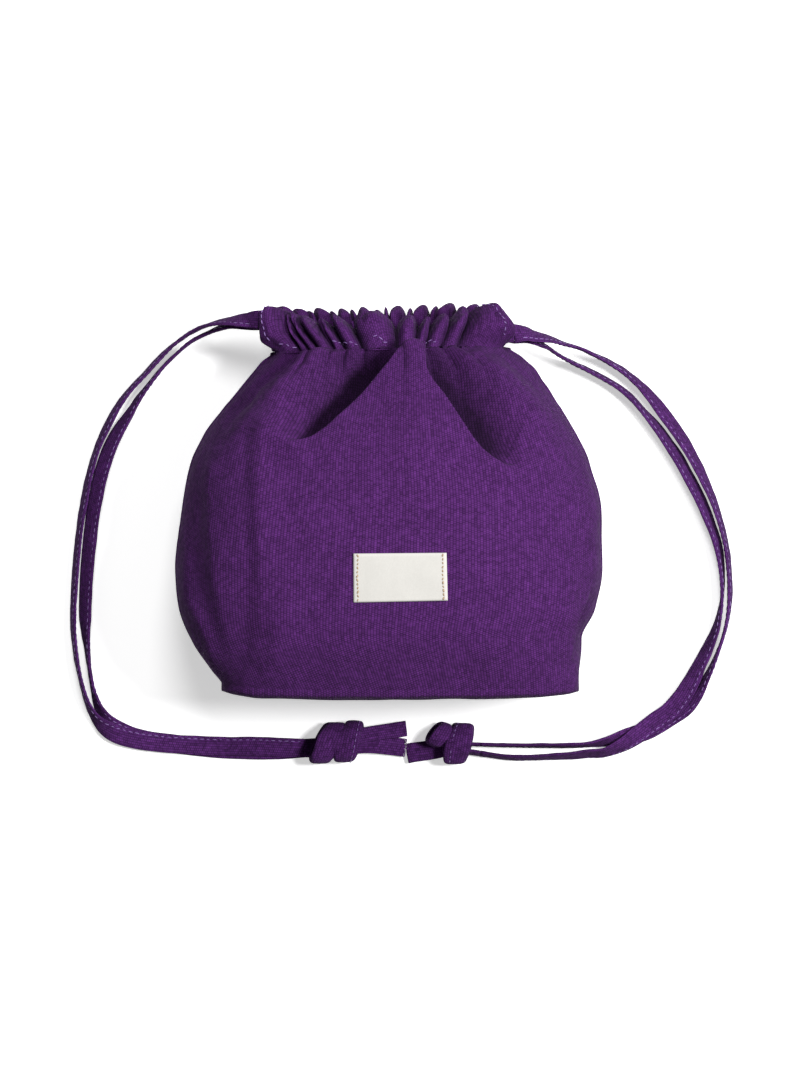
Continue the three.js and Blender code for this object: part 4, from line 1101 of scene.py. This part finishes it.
def sleeve(side, lobes, columns, steps, inset):
    shares = np.linspace(0, 1, columns)
    foot, stand, outward, out = neck_frames(side, mix(casing["ends"], 1 - casing["ends"], shares))
    heights, swell, way = sleeve_profile(steps)
    rise, top, lobe = lobes_at(lobes, shares[:, None], heights[None])
    foot_rise, _, _ = lobes_at(lobes, shares, np.zeros(columns))
    pinch = 1.3
    bunched = mix(0.45, 1.0, ease(heights / 0.4))[None]
    hem = mix(0.74, 1.0, ease(shares / 0.05)) * mix(0.66, 1.0, ease((1 - shares) / 0.1))
    top = top * hem[:, None]
    outer = pinch + (casing["half"] - pinch) * lobe + casing["pleat"] * rise * bunched
    inner = pinch * 0.9 + (casing["half"] - pinch) * lobe + casing["pleat"] * casing["inner"] * rise
    half = np.where(way[None] > 0, outer, inner) - inset
    foot_half = 0.3 if inset else 0.85
    away = way[None] * mix(foot_half, half, swell[None])
    high = casing["height"] * top * heights[None]
    high = np.clip(high, inset, None) - inset * ease((heights[None] - 0.8) / 0.2)
    start = foot + outward * (casing["gather"] * foot_rise)[:, None]
    low = ease(1 - heights / 0.12)[None, :, None]
    facing = unit(out[:, None] * (1 - low) + outward[:, None] * low)
    points = start[:, None] + stand[:, None] * high[..., None] + facing * away[..., None]
    crumple = cloth_noise(points * (1, 0.3, 1), 3.4, 21 + side) * 1.1
    crumple = crumple + cloth_noise(points, 8.0, 23 + side) * 1.7
    points = points + facing * (way[None] * crumple * swell[None])[..., None] * (0 if inset else 1)
    girth = np.concatenate([[0], np.cumsum(np.linalg.norm(np.diff(foot, axis=0), axis=1))]) * 1.7
    climb = np.concatenate([[0],
                            np.cumsum(np.hypot(np.diff(heights) * casing["height"],
                                               np.diff(swell * way) * 6))])
    uv = np.stack(np.broadcast_arrays(girth[:, None], climb[None]), axis=-1)
    # The last value is painted shade in the creases between the gathers.
    return points, uv, np.broadcast_to(np.minimum(1.25 * (1 - lobe) ** 1.2, 1), points.shape[:2])


def build_casing(name, side, lobes, columns, steps):
    outside, uv, folds = sleeve(side, lobes, columns, steps, 0)
    inside, inside_uv, _ = sleeve(side, lobes, columns, steps, casing["wall"])
    around = outside.shape[1]
    points = np.vstack([outside.reshape(-1, 3), inside[::-1].reshape(-1, 3)])
    cloth = np.vstack([uv.reshape(-1, 2), inside_uv[::-1].reshape(-1, 2)])
    # The inside of the sleeve gets a steady painted shade.
    folds = np.concatenate([folds.ravel(), 0.6 + 0 * folds.ravel()])
    faces = grid_faces(columns, around, round_columns=True)
    faces += grid_faces(columns, around, columns * around, round_columns=True)
    for first, second in (((columns - 1) * around, columns * around), ((2 * columns - 1) * around, 0)):
        for i in range(around):
            j = (i + 1) % around
            faces.append((first + i, first + j, second + j, second + i))
    piece = add_mesh(name + "_canvas", points, faces, purple_canvas, cloth, folds)
    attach(piece, "root")
    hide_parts(name)
    print(name, "faces:", len(piece.data.polygons))
    return piece, outside


front_casing, front_sleeve = build_casing("front_casing", 1, front_lobes, 420, 22)
back_casing, back_sleeve = build_casing("back_casing", -1, back_lobes, 420, 18)

# %% [markdown]
# ## The hidden stretch of the tapes
# Inside the casing each tape goes in at its own end, turns round the far end and comes back. Only its ends
# show, but it is really there, a little narrower because the gathers squeeze it.

# %% Tapes inside the casings
channel_shares = (0.07, 0.18, 0.29, 0.39, 0.5, 0.61, 0.71, 0.8, 0.88, 0.95)
tape_run = dict(start=1.6, spacing=7.6, bulge=4, lead=2.5)


def hidden_run(side, lane):
    height = tape_run["start"] + TAPE_WIDTH / 2 + lane * tape_run["spacing"]
    word = "left" if side < 0 else "right"
    points, widths = [], []
    ends = []
    for which in ("front", "back"):
        middles, across = leg_frames(leg_routes[f"{word}_leg_{which}"])
        inward = unit(middles[0] - middles[1])
        ends.append([(middles[0] + inward * reach, across[0]) for reach in (GAP, GAP + tape_run["lead"])])
    points += [p for p, _ in ends[0]]
    widths += [w for _, w in ends[0]]
    shares = np.array(channel_shares if side < 0 else [1 - s for s in channel_shares])
    front_foot, front_stand, _, _ = neck_frames(1, shares)
    back_foot, back_stand, _, _ = neck_frames(-1, shares)
    front_way = front_foot + front_stand * height
    back_way = back_foot + back_stand * height
    points += list(front_way)
    widths += list(front_stand)
    turn = (front_way[-1] + back_way[-1]) / 2 - np.array([side * tape_run["bulge"], 0, 0])
    points += [turn] + list(back_way[::-1]) + [p for p, _ in ends[1][::-1]]
    widths += [np.array([0, 1.0, 0])] + list(back_stand[::-1]) + [w for _, w in ends[1][::-1]]
    line, place, along = smooth_line(points, step=1.6)
    widths = np.array(widths)
    across = np.stack([np.interp(place, np.arange(len(widths)), widths[:, k]) for k in range(3)], axis=1)
    squeeze = ease(np.minimum(along, along[-1] - along) / 14)
    return sweep(line, across, mix(TAPE_WIDTH, 8.2, squeeze), mix(TAPE_THICK, 1.2, squeeze), 31 + side,
                 rough=0.3)


for word, side, lane in (("left", -1, 1), ("right", 1, 0)):
    run_points, run_faces, run_cloth = hidden_run(side, lane)
    run = add_mesh(word + "_run_tape", run_points, run_faces, tape_canvas, run_cloth)
    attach(run, "root")
    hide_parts(word + "_drawstring_run")

# %% [markdown]
# ## The label
# A small cream cloth label is folded under at its ends and sewn down with tan thread. It is laid on the
# finished front: each of its points drops onto the panel from above, so that it follows the swell.

# %% Label
label = dict(x=5.1, y=-37.6, width=43.4, height=22.4, thick=0.8, turn=0.8)


def tree_of(piece):
    return BVHTree.FromPolygons([v.co for v in piece.data.vertices],
                                [p.vertices for p in piece.data.polygons])


front_tree = tree_of(front_panel)


def drop(x, y, tree, above=0.3):
    hit = tree.ray_cast(Vector((x * MM, y * MM, 0.3)), Vector((0, 0, -1)))[0]
    return hit.z / MM + above


def label_point(s, t):
    """A place on the label, with s and t from 0 to 1 across and up it, slightly out of square as sewn."""
    x = (s - 0.5) * (label["width"] + 0.5 * (0.5 - t))
    y = (t - 0.5) * (label["height"] + 0.5 * (0.5 - s))
    a = math.radians(label["turn"])
    return label["x"] + x * math.cos(a) - y * math.sin(a), label["y"] + x * math.sin(a) + y * math.cos(a)


label_columns, label_rows = 61, 33
top = np.zeros((label_rows, label_columns, 3))
for j in range(label_rows):
    for i in range(label_columns):
        s, t = i / (label_columns - 1), j / (label_rows - 1)
        x, y = label_point(s, t)
        top[j, i] = (x, y, drop(x, y, front_tree))
smoothed = top[..., 2].copy()
for _ in range(6):
    padded = np.pad(smoothed, 1, mode="edge")
    smoothed = (padded[:-2, 1:-1] + padded[2:, 1:-1] + padded[1:-1, :-2] + padded[1:-1, 2:]) / 4
top[..., 2] = np.maximum(smoothed, top[..., 2])
edge_share = np.minimum.reduce(np.broadcast_arrays(
    np.linspace(0, 1, label_columns)[None] * label["width"],
    (1 - np.linspace(0, 1, label_columns))[None] * label["width"],
    np.linspace(0, 1, label_rows)[:, None] * label["height"] * 2,
    (1 - np.linspace(0, 1, label_rows))[:, None] * label["height"] * 2))
under = top.copy()
top[..., 2] += label["thick"] * (0.45 + 0.55 * ease(edge_share / 0.9))
cells = label_rows * label_columns
rim = ([(0, i) for i in range(label_columns)] + [(j, label_columns - 1) for j in range(1, label_rows)]
       + [(label_rows - 1, i) for i in range(label_columns - 2, -1, -1)]
       + [(j, 0) for j in range(label_rows - 2, 0, -1)])
rim = [j * label_columns + i for j, i in rim]
label_faces = grid_faces(label_rows, label_columns)
label_faces += [f[::-1] for f in grid_faces(label_rows, label_columns, cells)]
label_faces += [(a, cells + a, cells + b, b) for a, b in zip(rim, rim[1:] + rim[:1])]
flat_grid = np.stack(np.meshgrid(np.linspace(0, label["width"], label_columns),
                                 np.linspace(0, label["height"], label_rows)), axis=-1)
label_uv = np.vstack([flat_grid.reshape(-1, 2)] * 2)
label_piece = add_mesh("label_cloth_patch", np.vstack([top.reshape(-1, 3), under.reshape(-1, 3)]),
                       label_faces, label_cloth, label_uv)
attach(label_piece, "root")
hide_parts("label")
print("label faces:", len(label_piece.data.polygons))

# %% Label stitches
label_tree = tree_of(label_piece)


def label_line(s, t_from, t_to):
    ts = np.linspace(t_from, t_to, 40)
    places = [label_point(s + 0.003 * math.sin(9 * t), t) for t in ts]
    return np.array([(x, y, drop(x, y, label_tree, 0.12)) for x, y in places])


sew("label_stitches", [label_line(0.045, 0.05, 0.95), label_line(0.955, 0.05, 0.95)], tan_thread, pitch=1.8,
    length=1.5, width=0.75, wobble=0.45, seed=8)

# %% [markdown]
# ## Seams on the casing
# The casing is closed by a row of stitches just above the neck, which shows only where the gathers open, and
# each open end is hemmed with one more row.

# %% Casing stitches
def sleeve_line(points, shares, heights, lift=0.25):
    """Points on the outer side of a sleeve at shares of the way round and of its height."""
    columns, around = points.shape[:2]
    outer = (around + 1) // 2
    normals = surface_normals(points.transpose(1, 0, 2), 1).transpose(1, 0, 2)
    middle = points.mean(1, keepdims=True)
    normals = normals * np.sign(((points - middle) * normals).sum(-1, keepdims=True))
    place = np.clip(np.asarray(shares) * (columns - 1), 0, columns - 1).round().astype(int)
    level = np.clip(np.asarray(heights) * (outer - 1), 0, outer - 1).round().astype(int)
    return points[place, level] + normals[place, level] * lift


foot_shares = np.linspace(0.01, 0.99, 420)
ticks = [(0.07, 0.105), (0.295, 0.375), (0.46, 0.49), (0.61, 0.63), (0.65, 0.675)]
tick_rows = [sleeve_line(front_sleeve, np.linspace(a, b, 30), np.linspace(0.2, 0.12, 30)) for a, b in ticks]
sew("front_casing_foot_stitches", tick_rows, lilac_thread, pitch=2.9, length=2.2, width=0.45, seed=12)
back_row = sleeve_line(back_sleeve, foot_shares, 0.16 + 0 * foot_shares)
# The back row uses the darker copy of the lilac thread, as painted shade.
sew("back_casing_foot_stitches", [back_row], painted_shade_lilac_thread, pitch=3.0, length=2.0, width=0.45, seed=13)
hem_heights = np.linspace(0.3, 0.95, 60)
hem_rows = [
    sleeve_line(front_sleeve, 0.038 + 0.014 * hem_heights, hem_heights),
    sleeve_line(front_sleeve, 0.962 - 0.11 * hem_heights ** 1.5, hem_heights),
    sleeve_line(back_sleeve, 0.025 + 0 * hem_heights, hem_heights),
    sleeve_line(back_sleeve, 0.975 + 0 * hem_heights, hem_heights),
]
sew("casing_hem_stitches", hem_rows, lilac_thread, pitch=3.0, length=2.1, width=0.5, seed=14)

# %% [markdown]
# ## Floor and light
# A plain pale floor and soft light from a wide window of sky, with one big soft lamp up and to the right that
# lets the folds throw a short shadow to the left. The floor gives a little light of its own, and the
# pouch picks up no soft light back from it, so the ground stays pale beside the dark left side.

# %% Floor, lamps and sky
floor_finish = bpy.data.materials.new("pale floor")
floor_finish.use_nodes = True
floor_shader = floor_finish.node_tree.nodes["Principled BSDF"]
floor_shader.inputs["Base Color"].default_value = (0.93, 0.93, 0.93, 1)
floor_shader.inputs["Roughness"].default_value = 0.8
floor_shader.inputs["Specular IOR Level"].default_value = 0.1
floor_shader.inputs["Emission Color"].default_value = (1, 1, 1, 1)
floor_shader.inputs["Emission Strength"].default_value = 0.5
floor_mesh = bpy.data.meshes.new("floor")
floor_mesh.from_pydata([(-4, -4, 0), (4, -4, 0), (4, 4, 0), (-4, 4, 0)], [], [(0, 1, 2, 3)])
floor_mesh.materials.append(floor_finish)
floor = bpy.data.objects.new("floor", floor_mesh)
scene.collection.objects.link(floor)
floor.visible_diffuse = False


def soft_lamp(name, place, target, size, power):
    lamp = bpy.data.lights.new(name, "AREA")
    lamp.shape = "DISK"
    lamp.size = size
    lamp.energy = power
    holder = bpy.data.objects.new(name, lamp)
    holder.location = place
    holder.rotation_euler = (Vector(target) - Vector(place)).to_track_quat("-Z", "Y").to_euler()
    scene.collection.objects.link(holder)
    return holder


soft_lamp("big soft lamp", place=(0.8, 0.1, 1.22), target=(0, 0, 0.05), size=0.32, power=22)
soft_lamp("top lamp", place=(0.05, 0.75, 1.4), target=(0, 0, 0.05), size=0.5, power=13)
world = bpy.data.worlds.new("studio")
world.use_nodes = True
world.node_tree.nodes["Background"].inputs["Color"].default_value = (1, 1, 1, 1)
world.node_tree.nodes["Background"].inputs["Strength"].default_value = 0.13
scene.world = world
scene.view_settings.view_transform = "Standard"
